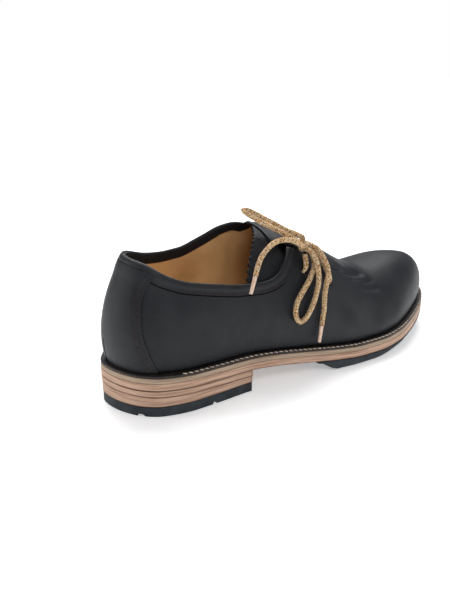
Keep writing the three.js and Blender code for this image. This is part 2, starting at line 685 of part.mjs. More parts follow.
// Materials
const leather = (color, roughness) => new THREE.MeshStandardMaterial({ color, roughness, metalness: 0 });
const BLACK_LEATHER = leather(0x26282b, 0.55);
const TAN_LINING = leather(0xb98a4c, 0.7);
const WELT_LEATHER = leather(0x2a201a, 0.6);
const GREY_LEATHER = leather(0xa8937c, 0.75);
const SOLE_LEATHER = leather(0xc4957a, 0.75);
const RUBBER = leather(0x22262a, 0.85);
const LACE_CORD = leather(0xd3a468, 0.9);
const TIP_PLASTIC = leather(0xd8bfae, 0.4);

const shoe = new THREE.Group();
const centred = new THREE.Group();
centred.position.x = -SOLE_LENGTH / 2;
shoe.add(centred);

function add(name, geometry, material) {
  const mesh = new THREE.Mesh(geometry, material);
  mesh.name = name;
  centred.add(mesh);
}

// Sole
const ALL_STATIONS = stationsBetween(0, SOLE_LENGTH, 44);
const HEEL_STATIONS = stationsBetween(0, HEEL_LENGTH, 18);
const flush = () => 0;
add("midsole", plate(ALL_STATIONS, flush, midsoleTop, midsoleUnder), GREY_LEATHER);
add("outsole", plate(ALL_STATIONS, flush, outsoleTop, outsoleUnder), SOLE_LEATHER);

const insideWall = (station) => ledgeAt(station) + WALL + 2 * GLUE_LINE;
add(
  "insole",
  plate(ALL_STATIONS, insideWall, (x) => upperUnder(x) + INSOLE_THICKNESS, upperUnder),
  TAN_LINING,
);

// The welt is a strip round the edge
function weltGeometry() {
  const corners = new Corners();
  const faces = [];
  const ring = [
    ...ALL_STATIONS.map((s) => [s, "lateral"]),
    ...ALL_STATIONS.slice(1, -1).reverse().map((s) => [s, "medial"]),
  ].map(([s, side]) =>
    [0, WELT_WIDTH].flatMap((inset) => {
      const [x, y] = edgePoint(s, side, inset);
      return [corners.add([x, y, weltUnder(x)]), corners.add([x, y, weltTop(x)])];
    }),
  );
  ring.forEach(([outLow, outHigh, inLow, inHigh], k) => {
    const [nOutLow, nOutHigh, nInLow, nInHigh] = ring[(k + 1) % ring.length];
    faces.push([outLow, nOutLow, nOutHigh, outHigh]);
    faces.push([outHigh, nOutHigh, nInHigh, inHigh]);
    faces.push([inHigh, nInHigh, nInLow, inLow]);
    faces.push([inLow, nInLow, nOutLow, outLow]);
  });
  return tidy(solidGeometry(corners.points, faces.flatMap(splitFace)));
}
add("welt", weltGeometry(), WELT_LEATHER);

const treadTop = (x) => outsoleUnder(x) - GLUE_LINE;
const tread = through(SOLE_PROFILE, "tread");
const treadUnder = (x) => TREAD_THICKNESS * tread(x / SOLE_LENGTH);
const TREAD_STATIONS = [
  ...stationsBetween(TREAD_START * SOLE_LENGTH, REST_START * SOLE_LENGTH, 3).slice(0, -1),
  ...stationsBetween(REST_START * SOLE_LENGTH, REST_END * SOLE_LENGTH, 3).slice(0, -1),
  ...stationsBetween(REST_END * SOLE_LENGTH, SOLE_LENGTH, 18),
];
add("half_sole", plate(TREAD_STATIONS, flush, treadTop, treadUnder, BEVEL_WIDTH, BEVEL_RISE), RUBBER);

const liftTop = (x) => outsoleUnder(x) - GLUE_LINE;
const liftUnder = (x) => liftTop(x) - LIFT_THICKNESS;
const wedgeTop = (x) => liftUnder(x) - GLUE_LINE;
const wedgeUnder = () => TOP_PIECE_THICKNESS + GLUE_LINE;
add("heel_lift_upper", plate(HEEL_STATIONS, flush, liftTop, liftUnder), SOLE_LEATHER);
add("heel_lift_lower", plate(HEEL_STATIONS, () => HEEL_TAPER / 2, wedgeTop, wedgeUnder), SOLE_LEATHER);

// The rubber top piece, with grooves across its tread that show at its edge
function topPieceGeometry() {
  let piece = toSolid(plate(HEEL_STATIONS, () => HEEL_TAPER, () => TOP_PIECE_THICKNESS, () => 0));
  for (const share of GROOVES) {
    const groove = new THREE.BoxGeometry(GROOVE_WIDTH, 2 * BALL_WIDTH, 2 * GROOVE_DEPTH);
    groove.translate(HEEL_LENGTH * share, 0, 0);
    piece = piece.subtract(toSolid(groove));
  }
  return toGeometry(piece);
}
add("heel_top_piece", topPieceGeometry(), RUBBER);

// Outward direction of the upper's form at a point
function formNormal(x, lean) {
  const step = 0.01;
  const at = (dx, dl) => new THREE.Vector3(...formPoint(x + dx, lean + dl));
  const along = at(1, 0).sub(at(-1, 0));
  const across = at(0, step).sub(at(0, -step));
  return along.cross(across).normalize();
}

// A point off the upper's form, outward from it by some distance
function offForm({ x, lean }, distance) {
  return new THREE.Vector3(...formPoint(x, lean)).addScaledVector(formNormal(x, lean), distance);
}

// A round bar between two points
function bar(from, to, diameter, sides) {
  const axis = to.clone().sub(from);
  const geometry = new THREE.CylinderGeometry(diameter / 2, diameter / 2, axis.length(), sides);
  geometry.translate(0, axis.length() / 2, 0);
  const up = new THREE.Vector3(0, 1, 0);
  geometry.applyQuaternion(new THREE.Quaternion().setFromUnitVectors(up, axis.normalize()));
  geometry.translate(from.x, from.y, from.z);
  return geometry;
}

const smoothPath = (points) => new THREE.CatmullRomCurve3(points, false, "centripetal");

// A tube of lace along a smooth path, with eight sides
function laceTube(extrudePath, stepLength) {
  const section = new THREE.Shape();
  section.absarc(0, 0, LACE_DIAMETER / 2, 0, 2 * Math.PI);
  return new THREE.ExtrudeGeometry(section, {
    steps: Math.round(extrudePath.getLength() / stepLength),
    curveSegments: 4,
    extrudePath,
    bevelEnabled: false,
  });
}

// Upper, with its eyelets cut, and what is fixed to it
function upperWithEyelets() {
  let upper = toSolid(upperGeometry());
  for (const eyelet of Object.values(EYELETS)) {
    const hole = LACE_DIAMETER + 2 * LACE_CLEARANCE;
    const reach = 2 * WALL;
    upper = upper.subtract(toSolid(bar(offForm(eyelet, -reach), offForm(eyelet, reach), hole, 10)));
  }
  return toGeometry(upper);
}
add("upper", upperWithEyelets(), BLACK_LEATHER);
add("heel_counter", counterGeometry(), BLACK_LEATHER);
add("tongue", tongueGeometry(), BLACK_LEATHER);

// The laced part: a bar over the slit in front, a run under each flap, and up to the knot behind
const OVER = LACE_DIAMETER / 2 + LACE_CLEARANCE;
const UNDER = -(WALL + LACE_DIAMETER / 2 + LACE_CLEARANCE);

// Centre line of the lace where it dips through an eyelet, between two neighbours
function throughEyelet(eyelet, outsideTowards, insideTowards) {
  const outer = offForm(eyelet, OVER);
  const inner = offForm(eyelet, UNDER);
  const slack = LACE_DIAMETER * 0.35;
  return [
    outer.clone().addScaledVector(outsideTowards.clone().sub(outer).normalize(), slack),
    offForm(eyelet, OVER * 0.45),
    offForm(eyelet, UNDER * 0.65),
    inner.clone().addScaledVector(insideTowards.clone().sub(inner).normalize(), slack),
  ];
}

const knotCentre = offForm({ x: CORNER + KNOT.setback, lean: KNOT.lean }, KNOT.lift);
function laceCrossing() {
  const { lateralRear, lateralFront, medialFront, medialRear } = EYELETS;
  const between = (a, b, t, distance) =>
    offForm({ x: a.x + (b.x - a.x) * t, lean: a.lean + (b.lean - a.lean) * t }, distance);
  const under = (a, b) => [0.3, 0.5, 0.7].map((t) => between(a, b, t, UNDER));
  const over = [0.15, 0.35, 0.5, 0.65, 0.85].map((t) => between(lateralFront, medialFront, t, OVER));
  const lateralRun = under(lateralRear, lateralFront);
  const medialRun = under(medialFront, medialRear);
  const clear = KNOT.radii[0] + LACE_DIAMETER / 2 + JOIN_GAP;
  const toKnot = (eyelet) => {
    const start = offForm(eyelet, OVER);
    const way = knotCentre.clone().sub(start);
    return start.addScaledVector(way.clone().normalize(), way.length() - clear);
  };
  const outerRear = toKnot(lateralRear);
  const outerRearMedial = toKnot(medialRear);
  return laceTube(
    smoothPath([
      outerRear,
      ...throughEyelet(lateralRear, outerRear, lateralRun[0]),
      ...lateralRun,
      ...throughEyelet(lateralFront, over[0], lateralRun[2]).reverse(),
      ...over,
      ...throughEyelet(medialFront, over[4], medialRun[0]),
      ...medialRun,
      ...throughEyelet(medialRear, outerRearMedial, medialRun[2]).reverse(),
      outerRearMedial,
    ]),
    LACE_DIAMETER * 0.55,
  );
}
add("lace_crossing", laceCrossing(), LACE_CORD);

// The bow: a knot, two loops and two ends, each with a tip
function knotGeometry() {
  const core = new THREE.SphereGeometry(1, 12, 9);
  core.scale(...KNOT.radii);
  core.translate(...knotCentre.toArray());
  return toGeometry(toSolid(core));
}
add("lace_knot", knotGeometry(), LACE_CORD);
for (const [name, points] of Object.entries(BOW)) {
  const path = smoothPath(points.map((p) => new THREE.Vector3(...p).add(knotCentre)));
  add(name, laceTube(path, LACE_DIAMETER * 1.5), LACE_CORD);
  if (!name.includes("end")) continue;
  const way = path.getTangent(1);
  const start = path.getPoint(1).addScaledVector(way, JOIN_GAP);
  const end = start.clone().addScaledVector(way, TIP_LENGTH);
  add(name.replace("end", "tip"), bar(start, end, TIP_DIAMETER, 8), TIP_PLASTIC);
}

export default shoe;
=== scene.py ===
import math

import bpy
import numpy as np
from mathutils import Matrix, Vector


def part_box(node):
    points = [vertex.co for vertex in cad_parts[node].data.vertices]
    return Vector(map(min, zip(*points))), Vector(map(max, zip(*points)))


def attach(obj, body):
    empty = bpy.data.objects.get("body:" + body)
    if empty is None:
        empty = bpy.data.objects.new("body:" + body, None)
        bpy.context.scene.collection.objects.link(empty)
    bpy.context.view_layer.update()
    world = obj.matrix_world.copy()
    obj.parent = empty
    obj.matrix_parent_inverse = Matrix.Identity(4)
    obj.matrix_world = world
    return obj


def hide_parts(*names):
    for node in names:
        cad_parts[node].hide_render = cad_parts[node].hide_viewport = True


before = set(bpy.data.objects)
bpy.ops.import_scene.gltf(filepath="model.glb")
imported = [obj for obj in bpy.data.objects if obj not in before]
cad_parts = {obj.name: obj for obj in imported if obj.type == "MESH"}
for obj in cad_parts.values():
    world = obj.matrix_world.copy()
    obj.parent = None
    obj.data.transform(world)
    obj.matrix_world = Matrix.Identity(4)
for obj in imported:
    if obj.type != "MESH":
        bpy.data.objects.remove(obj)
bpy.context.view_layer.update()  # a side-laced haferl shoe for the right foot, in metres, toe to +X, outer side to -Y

# The view and the studio. The camera stands behind the shoe on its outer side and looks a little down
# on it, as in the photograph. The shoe stands on a white floor that glows, more so further off.
CAMERA_PLACE = (-0.30482, -0.37436, 0.21027)
CAMERA_AZIMUTH = math.radians(-33.704)
CAMERA_ELEVATION = math.radians(16.5485)
CAMERA_LENS = 39.72
CAMERA_SHIFT = -0.0591

look = Vector((
    -math.sin(CAMERA_AZIMUTH) * math.cos(CAMERA_ELEVATION),
    math.cos(CAMERA_AZIMUTH) * math.cos(CAMERA_ELEVATION),
    -math.sin(CAMERA_ELEVATION),
))
camera = bpy.data.objects.new("camera", bpy.data.cameras.new("camera"))
camera.location = CAMERA_PLACE
camera.rotation_euler = look.to_track_quat("-Z", "Y").to_euler()
camera.data.sensor_width = 36
camera.data.lens = CAMERA_LENS
camera.data.shift_y = CAMERA_SHIFT
camera.data.clip_start = 0.01
bpy.context.scene.collection.objects.link(camera)
bpy.context.scene.camera = camera
bpy.context.scene.view_settings.view_transform = "Standard"


def put(tree, kind, sockets=(), **settings):
    """Adds a shader node, with its settings and with values or links on its sockets."""
    made = tree.nodes.new("ShaderNode" + kind)
    for key, value in settings.items():
        setattr(made, key, value)
    for key, value in dict(sockets).items():
        if isinstance(value, bpy.types.NodeSocket):
            tree.links.new(value, made.inputs[key])
        else:
            made.inputs[key].default_value = value
    return made


def new_finish(name, **uniform):
    """A material whose shader has some uniform values; returns it, its nodes and its shader."""
    made = bpy.data.materials.new(name)
    made.use_nodes = True
    shader = made.node_tree.nodes["Principled BSDF"]
    for key, value in uniform.items():
        shader.inputs[key.replace("_", " ")].default_value = value
    return made, made.node_tree, shader


def mesh_object(name, points, faces, finish):
    """A smooth mesh of points and faces in a finish, linked to the scene."""
    mesh = bpy.data.meshes.new(name)
    mesh.from_pydata([tuple(p) for p in points], [], [tuple(int(i) for i in f) for f in faces])
    mesh.materials.append(finish)
    mesh.polygons.foreach_set("use_smooth", [True] * len(mesh.polygons))
    mesh.update()
    made = bpy.data.objects.new(name, mesh)
    bpy.context.scene.collection.objects.link(made)
    return made


FLOOR_HALF = 12.0
FLOOR_GLOW = 0.37  # round the shoe; it rises to 1 between the two distances below
GLOW_FROM = 0.3
GLOW_TO = 1.0
floor_paint, floor_tree, floor_shader = new_finish(
    "floor_paint", Base_Color=(0.93, 0.93, 0.93, 1), Roughness=0.9, Specular_IOR_Level=0.1,
    Emission_Color=(1, 1, 1, 1),
)
floor_place = put(floor_tree, "TexCoord").outputs["Object"]
floor_far = put(floor_tree, "VectorMath", {0: floor_place}, operation="LENGTH").outputs["Value"]
floor_glow = put(floor_tree, "MapRange", {
    "Value": floor_far, "From Min": GLOW_FROM, "From Max": GLOW_TO, "To Min": FLOOR_GLOW, "To Max": 1.0,
})
floor_tree.links.new(floor_glow.outputs["Result"], floor_shader.inputs["Emission Strength"])
floor_corners = [(x * FLOOR_HALF, y * FLOOR_HALF, 0) for x, y in ((-1, -1), (1, -1), (1, 1), (-1, 1))]
floor = mesh_object("floor", floor_corners, [(0, 1, 2, 3)], floor_paint)

# Lamps: place, the point that they are turned to, width, height and power
LAMPS = {
    "lamp_above": ((0.4, 0.65, 1.3), (0.02, 0, 0), 1.4, 0.9, 33),
    "lamp_left": ((-1.2, 0.65, 0.55), (-0.1, 0, 0.06), 0.3, 1.1, 4.5),
    "lamp_front": ((-0.6, -1.5, 1.4), (0, 0, 0), 0.9, 0.6, 11),
    "lamp_right": ((1.2, -0.7, 0.45), (0.1, 0, 0.04), 0.4, 0.6, 2),
}
for name, (place, target, width, height, power) in LAMPS.items():
    lamp = bpy.data.objects.new(name, bpy.data.lights.new(name, "AREA"))
    lamp.data.shape = "RECTANGLE"
    lamp.data.size = width
    lamp.data.size_y = height
    lamp.data.energy = power
    lamp.location = place
    lamp.rotation_euler = (Vector(target) - Vector(place)).to_track_quat("-Z", "Y").to_euler()
    bpy.context.scene.collection.objects.link(lamp)

SKY_LIGHT = (0.2, 0.207, 0.22, 1)
SKY_SEEN = (1, 1, 1, 1)
world = bpy.data.worlds.new("studio")
bpy.context.scene.world = world
world.use_nodes = True
sky = world.node_tree
sky_ray = put(sky, "LightPath")
sky_mix = put(sky, "Mix", {"Factor": sky_ray.outputs["Is Camera Ray"]}, data_type="RGBA")
sky_mix.inputs["A"].default_value = SKY_LIGHT
sky_mix.inputs["B"].default_value = SKY_SEEN
sky.links.new(sky_mix.outputs["Result"], sky.nodes["Background"].inputs["Color"])

# The last. A maker pulls the upper over a wooden last, which gives the shoe its form: its outline is
# that of the sole's edge, and its sections are set by the height and place of its crown.
sole_low, sole_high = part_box("midsole")
SOLE_LENGTH = sole_high.x - sole_low.x
HEEL_BACK = sole_low.x
HALF_WIDTH = 0.051
LATERAL, MEDIAL = -1, 1
SEAT_RISE = 0.0119
TOE_SPRING = 0.0107
TREAD_THICKNESS = 0.0065
OUTSOLE_THICKNESS = 0.0048
MIDSOLE_THICKNESS = 0.0032
WELT_THICKNESS = 0.0016
GLUE_LINE = 0.0003
LEDGE = 0.0048
INSTEP_HEIGHT = 0.085
HEEL_CENTRE = 0.045
TOE_CENTRE = 0.252
FAN_BLEND = 0.014
QUARTER = math.pi / 2

# Edge of the sole: share of the length, then lateral and medial shares of half the ball width
SOLE_EDGE = np.array([
    (0, 0, 0), (0.0125, 0.36, 0.22), (0.04, 0.615, 0.425), (0.08, 0.77, 0.555),
    (0.15, 0.843, 0.635), (0.21, 0.833, 0.645), (0.3, 0.805, 0.62), (0.4, 0.86, 0.64),
    (0.54, 0.96, 0.81), (0.61, 1, 0.92), (0.68, 1, 0.99), (0.75, 0.945, 1), (0.813, 0.81, 0.95),
    (0.866, 0.655, 0.865), (0.917, 0.475, 0.725), (0.96, 0.285, 0.54), (1, -0.12, 0.12),
])
# Sole from the side: share of the length, share of SEAT_RISE, of TOE_SPRING and of TREAD_THICKNESS
SOLE_PROFILE = np.array([
    (0, 1, 0, 1), (0.11, 0.9, 0, 1), (0.27, 0.78, 0, 1), (0.373, 0.62, 0, 1),
    (0.427, 0.46, 0, 1), (0.487, 0.28, 0, 1.05), (0.54, 0.125, 0, 0), (0.6, 0.03, 0, 0),
    (0.66, 0, 0, 0), (0.71, 0, 0.05, 0.3), (0.757, 0, 0.16, 0.64), (0.82, 0, 0.34, 1),
    (0.9, 0, 0.6, 1.4), (1, 0, 1, 2.02),
])
# Sections: share of the length, height of the crown, its place across, width of the ledge, fullness
# at the crown, uprightness of the lateral and medial walls, and their swell over the welt
SECTIONS = np.array([
    (0, 1.03, -0.06, 1, 2.1, 2.08, 2.08, 0.65, 0.65),
    (0.03, 1.03, -0.06, 0.9, 2.1, 1.98, 1.98, 0.6, 0.6),
    (0.08, 1.03, -0.07, 1, 2.15, 1.97, 2.07, 0.5, 0.6),
    (0.15, 1.03, -0.07, 1, 2.15, 1.96, 2.16, 0.5, 0.6),
    (0.28, 1.02, 0.0, 1, 2.15, 2.1, 2.4, 0.4, 0.9),
    (0.38, 0.965, 0.14, 1, 2.15, 2.5, 2.2, 0.4, 0.9),
    (0.44, 0.945, 0.21, 1, 2.15, 3.3, 2.0, 0.4, 0.8),
    (0.5, 0.875, 0.2, 1, 2.15, 2.8, 1.9, 0.5, 0.6),
    (0.55, 0.8, 0.18, 1, 2.15, 2.2, 1.7, 0.6, 0.6),
    (0.6, 0.727, 0.15, 1, 2.15, 1.7, 1.55, 0.7, 0.6),
    (0.665, 0.603, 0.12, 1, 2.15, 1.35, 1.5, 0.7, 0.6),
    (0.73, 0.508, 0.1, 1, 2.2, 1.5, 1.65, 0.6, 0.5),
    (0.84, 0.483, 0.1, 1, 2.4, 2.3, 2.4, 0.3, 0.3),
    (0.92, 0.465, 0.1, 0.9, 2.6, 3.1, 3.1, 0.3, 0.3),
    (1, 0.46, 0.1, 0.6, 2.8, 4.0, 4.0, 0.3, 0.3),
])


def through(at, values):
    """A smooth curve through a table's column that never overshoots its rows."""
    at = np.asarray(at, float)
    values = np.asarray(values, float)
    spans = np.diff(at)
    slopes = np.diff(values) / spans
    tangents = np.concatenate(([slopes[0]], np.zeros(len(at) - 2), [slopes[-1]]))
    for i in range(1, len(at) - 1):
        if slopes[i - 1] * slopes[i] > 0:
            w1 = 2 * spans[i] + spans[i - 1]
            w2 = spans[i] + 2 * spans[i - 1]
            tangents[i] = (w1 + w2) / (w1 / slopes[i - 1] + w2 / slopes[i])

    def curve(x):
        i = np.clip(np.searchsorted(at, x, side="right") - 1, 0, len(at) - 2)
        t = np.clip((x - at[i]) / spans[i], 0, 1)
        return (
            (2 * t**3 - 3 * t**2 + 1) * values[i]
            + (t**3 - 2 * t**2 + t) * spans[i] * tangents[i]
            + (3 * t**2 - 2 * t**3) * values[i + 1]
            + (t**3 - t**2) * spans[i] * tangents[i + 1]
        )

    return curve


def station_of(share):
    """Stations run evenly round both ends of the shoe: 0 is the heel's back and 1 the toe."""
    return np.arccos(1 - 2 * np.asarray(share, float)) / math.pi


def share_of(station):
    return (1 - np.cos(math.pi * np.asarray(station, float))) / 2


def by_station(table, column):
    return through(station_of(table[:, 0]), table[:, column])


edge_width = {LATERAL: by_station(SOLE_EDGE, 1), MEDIAL: by_station(SOLE_EDGE, 2)}
seat, toe_lift, tread = (through(SOLE_PROFILE[:, 0], SOLE_PROFILE[:, k]) for k in (1, 2, 3))
crown_share, crown_shift = (through(SECTIONS[:, 0], SECTIONS[:, k]) for k in (1, 2))
ledge_share = by_station(SECTIONS, 3)
top_shape = by_station(SECTIONS, 4)
wall_shape = {LATERAL: by_station(SECTIONS, 5), MEDIAL: by_station(SECTIONS, 6)}
swell_shape = {LATERAL: by_station(SECTIONS, 7), MEDIAL: by_station(SECTIONS, 8)}


def edge_point(station, side, inset=0.0):
    """x from the heel's back and y of the sole's edge in plan, moved in by some distance."""
    station = np.asarray(station, float)
    inset = np.broadcast_to(inset, station.shape)

    def at(s):
        return SOLE_LENGTH * share_of(s), side * HALF_WIDTH * edge_width[side](np.clip(s, 0, 1))

    x, y = at(station)
    x0, y0 = at(np.maximum(station - 0.004, 0))
    x1, y1 = at(np.minimum(station + 0.004, 1))
    size = np.hypot(x1 - x0, y1 - y0)
    moved_x = x + inset * side * (y1 - y0) / size
    moved_y = y - inset * side * (x1 - x0) / size
    back = station < 1e-6
    front = station > 1 - 1e-6
    moved_x = np.where(back, inset, np.where(front, SOLE_LENGTH - inset, moved_x))
    moved_y = np.where(back, 0, np.where(front, y, moved_y))
    return moved_x, moved_y


def outsole_under(x):
    share = x / SOLE_LENGTH
    return TREAD_THICKNESS + GLUE_LINE + SEAT_RISE * seat(share) + TOE_SPRING * toe_lift(share)


def outsole_top(x):
    return outsole_under(x) + OUTSOLE_THICKNESS


def midsole_under(x):
    return outsole_top(x) + GLUE_LINE


def midsole_top(x):
    return midsole_under(x) + MIDSOLE_THICKNESS


def welt_under(x):
    return midsole_top(x) + GLUE_LINE


def welt_top(x):
    return welt_under(x) + WELT_THICKNESS


def upper_under(x):
    return welt_top(x) + GLUE_LINE


def crown_point(station):
    """The crown over a station. Round heel and toe the sections fan out from a centre."""
    def soft(v):
        return FAN_BLEND * np.log1p(np.exp(v / FAN_BLEND))

    x = SOLE_LENGTH * share_of(station)
    along = TOE_CENTRE - soft(TOE_CENTRE - (HEEL_CENTRE + soft(x - HEEL_CENTRE)))
    share = along / SOLE_LENGTH
    return along, HALF_WIDTH * crown_shift(share), upper_under(along) + INSTEP_HEIGHT * crown_share(share)


def section_point(station, side, angle):
    """A point of a section, at an angle from 0 at the welt to a quarter turn at the crown."""
    ledge = LEDGE * ledge_share(station)
    bx, by = edge_point(station, side, ledge)
    ox, oy = edge_point(station, side, ledge - 0.001)
    cx, cy, cz = crown_point(station)
    base = upper_under(bx)
    rise = np.sin(angle) ** (2 / wall_shape[side](station))
    out = np.maximum(np.cos(angle), 0) ** (2 / top_shape(station))
    swell = 1000 * LEDGE * swell_shape[side](station) * 6.75 * rise * (1 - rise) ** 2
    return np.stack([
        HEEL_BACK + cx + (bx - cx) * out + (ox - bx) * swell,
        cy + (by - cy) * out + (oy - by) * swell,
        base + (cz - base) * rise,
    ], axis=-1)


def angle_at_rise(station, side, rise):
    return np.arcsin(np.clip(rise, 0, 1) ** (wall_shape[side](station) / 2))


def angle_at_lean(lean):
    return QUARTER * (1 - lean)


def angle_at_height(station, side, height):
    bx, _ = edge_point(station, side, LEDGE * ledge_share(station))
    return angle_at_rise(station, side, height / (crown_point(station)[2] - upper_under(bx)))


def form_point(x, lean):
    """A point of the form at x from the heel's back: lean is 0 on the crown, -1 at the outer welt."""
    station = station_of(np.asarray(x, float) / SOLE_LENGTH)
    outer = section_point(station, LATERAL, angle_at_lean(np.abs(lean)))
    inner = section_point(station, MEDIAL, angle_at_lean(np.abs(lean)))
    return np.where(np.asarray(lean)[..., None] < 0, outer, inner)


def form_normal(x, lean):
    along = form_point(x + 0.001, lean) - form_point(x - 0.001, lean)
    across = form_point(x, lean + 0.01) - form_point(x, lean - 0.01)
    normal = np.cross(along, across)
    return normal / np.linalg.norm(normal, axis=-1, keepdims=True)


# The upper. It is cut from black leather and lined with tan leather. Its topline is finished with a
# turned band and a stitch row, and it is slit on the outer side of the instep.
# Collar: share of the length, then lateral and medial heights as shares of BACK_HEIGHT
COLLAR = np.array([
    (0, 0.96, 0.96), (0.03, 0.93, 0.952), (0.077, 0.86, 0.925), (0.128, 0.8, 0.895),
    (0.178, 0.757, 0.885), (0.23, 0.717, 0.903), (0.283, 0.681, 1.0), (0.334, 0.673, 1.117),
    (0.364, 0.691, 1.145), (0.392, 0.749, 1.15), (0.41, 0.83, 1.15), (0.432, 0.945, 1.15),
])
# Slit and medial corner of the throat: share of the length, then lateral and medial leans
SLIT_LINE = np.array([
    (0, 0.4, 0.03), (0.5, 0.4, 0.16), (0.57, 0.405, 0.24), (0.61, 0.375, 0.26),
    (0.65, 0.365, 0.3), (0.8, 0.42, 0.42), (1, 0.42, 0.42),
])
BACK_HEIGHT = 0.071
THROAT = 0.121
LIP_SETBACK = 0.012
SLIT_LENGTH = 0.062
SLIT_GAP = 0.004
CORNER = THROAT + LIP_SETBACK
SLIT_END = CORNER + SLIT_LENGTH
WALL = 0.0022
WALL_ROWS = 42
TOP_ROWS = 17
LIP_STEPS = 14  # columns of the mesh between the throat and the slit's corner
RIM_ROUND = 0.0012
RIM_STEPS = 5
FACING_WIDTH = 0.0070
STITCH_INSET = 0.0054
BAND_WIDTH = 0.0064
slit_lean = {LATERAL: by_station(SLIT_LINE, 1), MEDIAL: by_station(SLIT_LINE, 2)}
throat_station = float(station_of(THROAT / SOLE_LENGTH))
corner_station = {LATERAL: float(station_of(CORNER / SOLE_LENGTH)), MEDIAL: throat_station}


def slit_angle(station, side):
    return angle_at_lean(slit_lean[side](station))


def collar_curve(side, column):
    end = corner_station[side]
    bx, _ = edge_point(end, side, LEDGE * ledge_share(end))
    height = section_point(end, side, slit_angle(end, side))[2] - upper_under(bx)
    rows = [(float(station_of(row[0])), row[column]) for row in COLLAR]
    rows = [row for row in rows if row[0] < end - 0.01] + [(end, float(height) / BACK_HEIGHT)]
    return through([row[0] for row in rows], [row[1] for row in rows])


collar_height = {LATERAL: collar_curve(LATERAL, 1), MEDIAL: collar_curve(MEDIAL, 2)}


def parting_angle(station, side):
    """The angle that a side wall ends at: the collar, and in front of it the slit or the crown's part."""
    if station >= corner_station[side] - 1e-9:
        return float(slit_angle(station, side))
    return float(angle_at_height(station, side, BACK_HEIGHT * collar_height[side](station)))


def run_along(points):
    """How far along a line each of its points lies."""
    return np.concatenate(([0], np.cumsum(np.linalg.norm(np.diff(points, axis=0), axis=1))))


def section_run(station, side, start, end, rows, trim_start=0.0, trim_end=0.0):
    """Evenly spaced points of a section between two angles, cut back at either end."""
    share = np.linspace(0, 1, 90)
    power = 2 / wall_shape[side](station)
    rise = np.sin(start) ** power * (1 - share) + np.sin(end) ** power * share
    angles = (angle_at_rise(station, side, rise) + start + (end - start) * share) / 2
    points = section_point(np.full(len(share), station), side, angles)
    sizes = run_along(points)
    wanted = np.linspace(trim_start, sizes[-1] - trim_end, rows + 1)
    return np.stack([np.interp(wanted, sizes, points[:, k]) for k in range(3)], axis=1)


def slit_half(station):
    """Half the slit's width, with the rounding of its lips, or 0 where the leather is whole."""
    x = SOLE_LENGTH * float(share_of(station))
    if station < throat_station - 1e-9 or x >= SLIT_END:
        return 0.0
    along = max((x - CORNER) / (SLIT_END - CORNER), 0)
    return (SLIT_GAP / 2 + RIM_ROUND) * (1 - along**2)


def stations_between(start, end, steps):
    first, last = (float(station_of(x / SOLE_LENGTH)) for x in (start, end))
    return np.linspace(first, last, steps + 1)


upper_stations = np.concatenate([
    stations_between(0, THROAT, 105)[:-1],
    stations_between(THROAT, CORNER, LIP_STEPS)[:-1],
    stations_between(CORNER, SLIT_END, 50)[:-1],
    stations_between(SLIT_END, SOLE_LENGTH, 80),
])
walls = {LATERAL: [], MEDIAL: []}
tops = []
for station in upper_stations:
    for side in (LATERAL, MEDIAL):
        behind = station < corner_station[side] - 1e-9
        if behind:
            cut = RIM_ROUND
        else:
            cut = slit_half(station) if side == LATERAL else 0.0
        run = section_run(station, side, 0, parting_angle(station, side), WALL_ROWS, 0, cut)
        walls[side].append(run)
    if station >= throat_station - 1e-9:
        outer, inner = (
            section_run(station, side, float(slit_angle(station, side)), QUARTER, TOP_ROWS, trim)
            for side, trim in ((LATERAL, slit_half(station)), (MEDIAL, 0.0))
        )
        tops.append(np.concatenate([outer, inner[:-1][::-1]]))
walls = {side: np.array(rows) for side, rows in walls.items()}
tops = np.array(tops)


def grid_numbers(grid):
    """The number of each point of a grid of points."""
    return np.arange(grid.shape[0] * grid.shape[1]).reshape(grid.shape[:2])


def grid_faces(numbers, flip=False):
    """Four-sided faces between the rows and columns of a grid of point numbers."""
    a, b = numbers[:-1, :-1], numbers[1:, :-1]
    c, d = numbers[1:, 1:], numbers[:-1, 1:]
    order = (a, d, c, b) if flip else (a, b, c, d)
    return np.stack(order, axis=-1).reshape(-1, 4)


def merged(points, faces, reach=2e-5):
    """Joins points that lie together and drops faces that lose their width."""
    keys = np.round(points / reach).astype(np.int64)
    _, first, number = np.unique(keys, axis=0, return_index=True, return_inverse=True)
    number = number.reshape(-1)
    kept = []
    for face in number[faces]:
        corners = list(dict.fromkeys(face.tolist()))
        if len(corners) > 2:
            kept.append(corners)
    return points[first], kept


def joined_grids(grids):
    """One set of points and faces from several grids, joined where they meet."""
    points = []
    faces = []
    count = 0
    for grid, flip in grids:
        numbers = grid_numbers(grid) + count
        faces.append(grid_faces(numbers, flip))
        points.append(grid.reshape(-1, 3))
        count += numbers.size
    return merged(np.concatenate(points), np.concatenate(faces))


def corner_normals(points, faces):
    """The average direction that the faces round each point look in."""
    normals = np.zeros_like(points)
    for face in faces:
        p = points[face]
        normal = np.cross(p[1] - p[0], p[2] - p[0])
        if len(face) == 4:
            normal = normal + np.cross(p[2] - p[0], p[3] - p[0])
        normals[face] += normal
    return normals / np.maximum(np.linalg.norm(normals, axis=1, keepdims=True), 1e-12)


def free_edges(faces):
    """The edges that only one face has, in that face's order."""
    uses = {}
    for face in faces:
        for p, q in zip(face, face[1:] + face[:1]):
            uses[(p, q)] = True
    return [edge for edge in uses if (edge[1], edge[0]) not in uses]


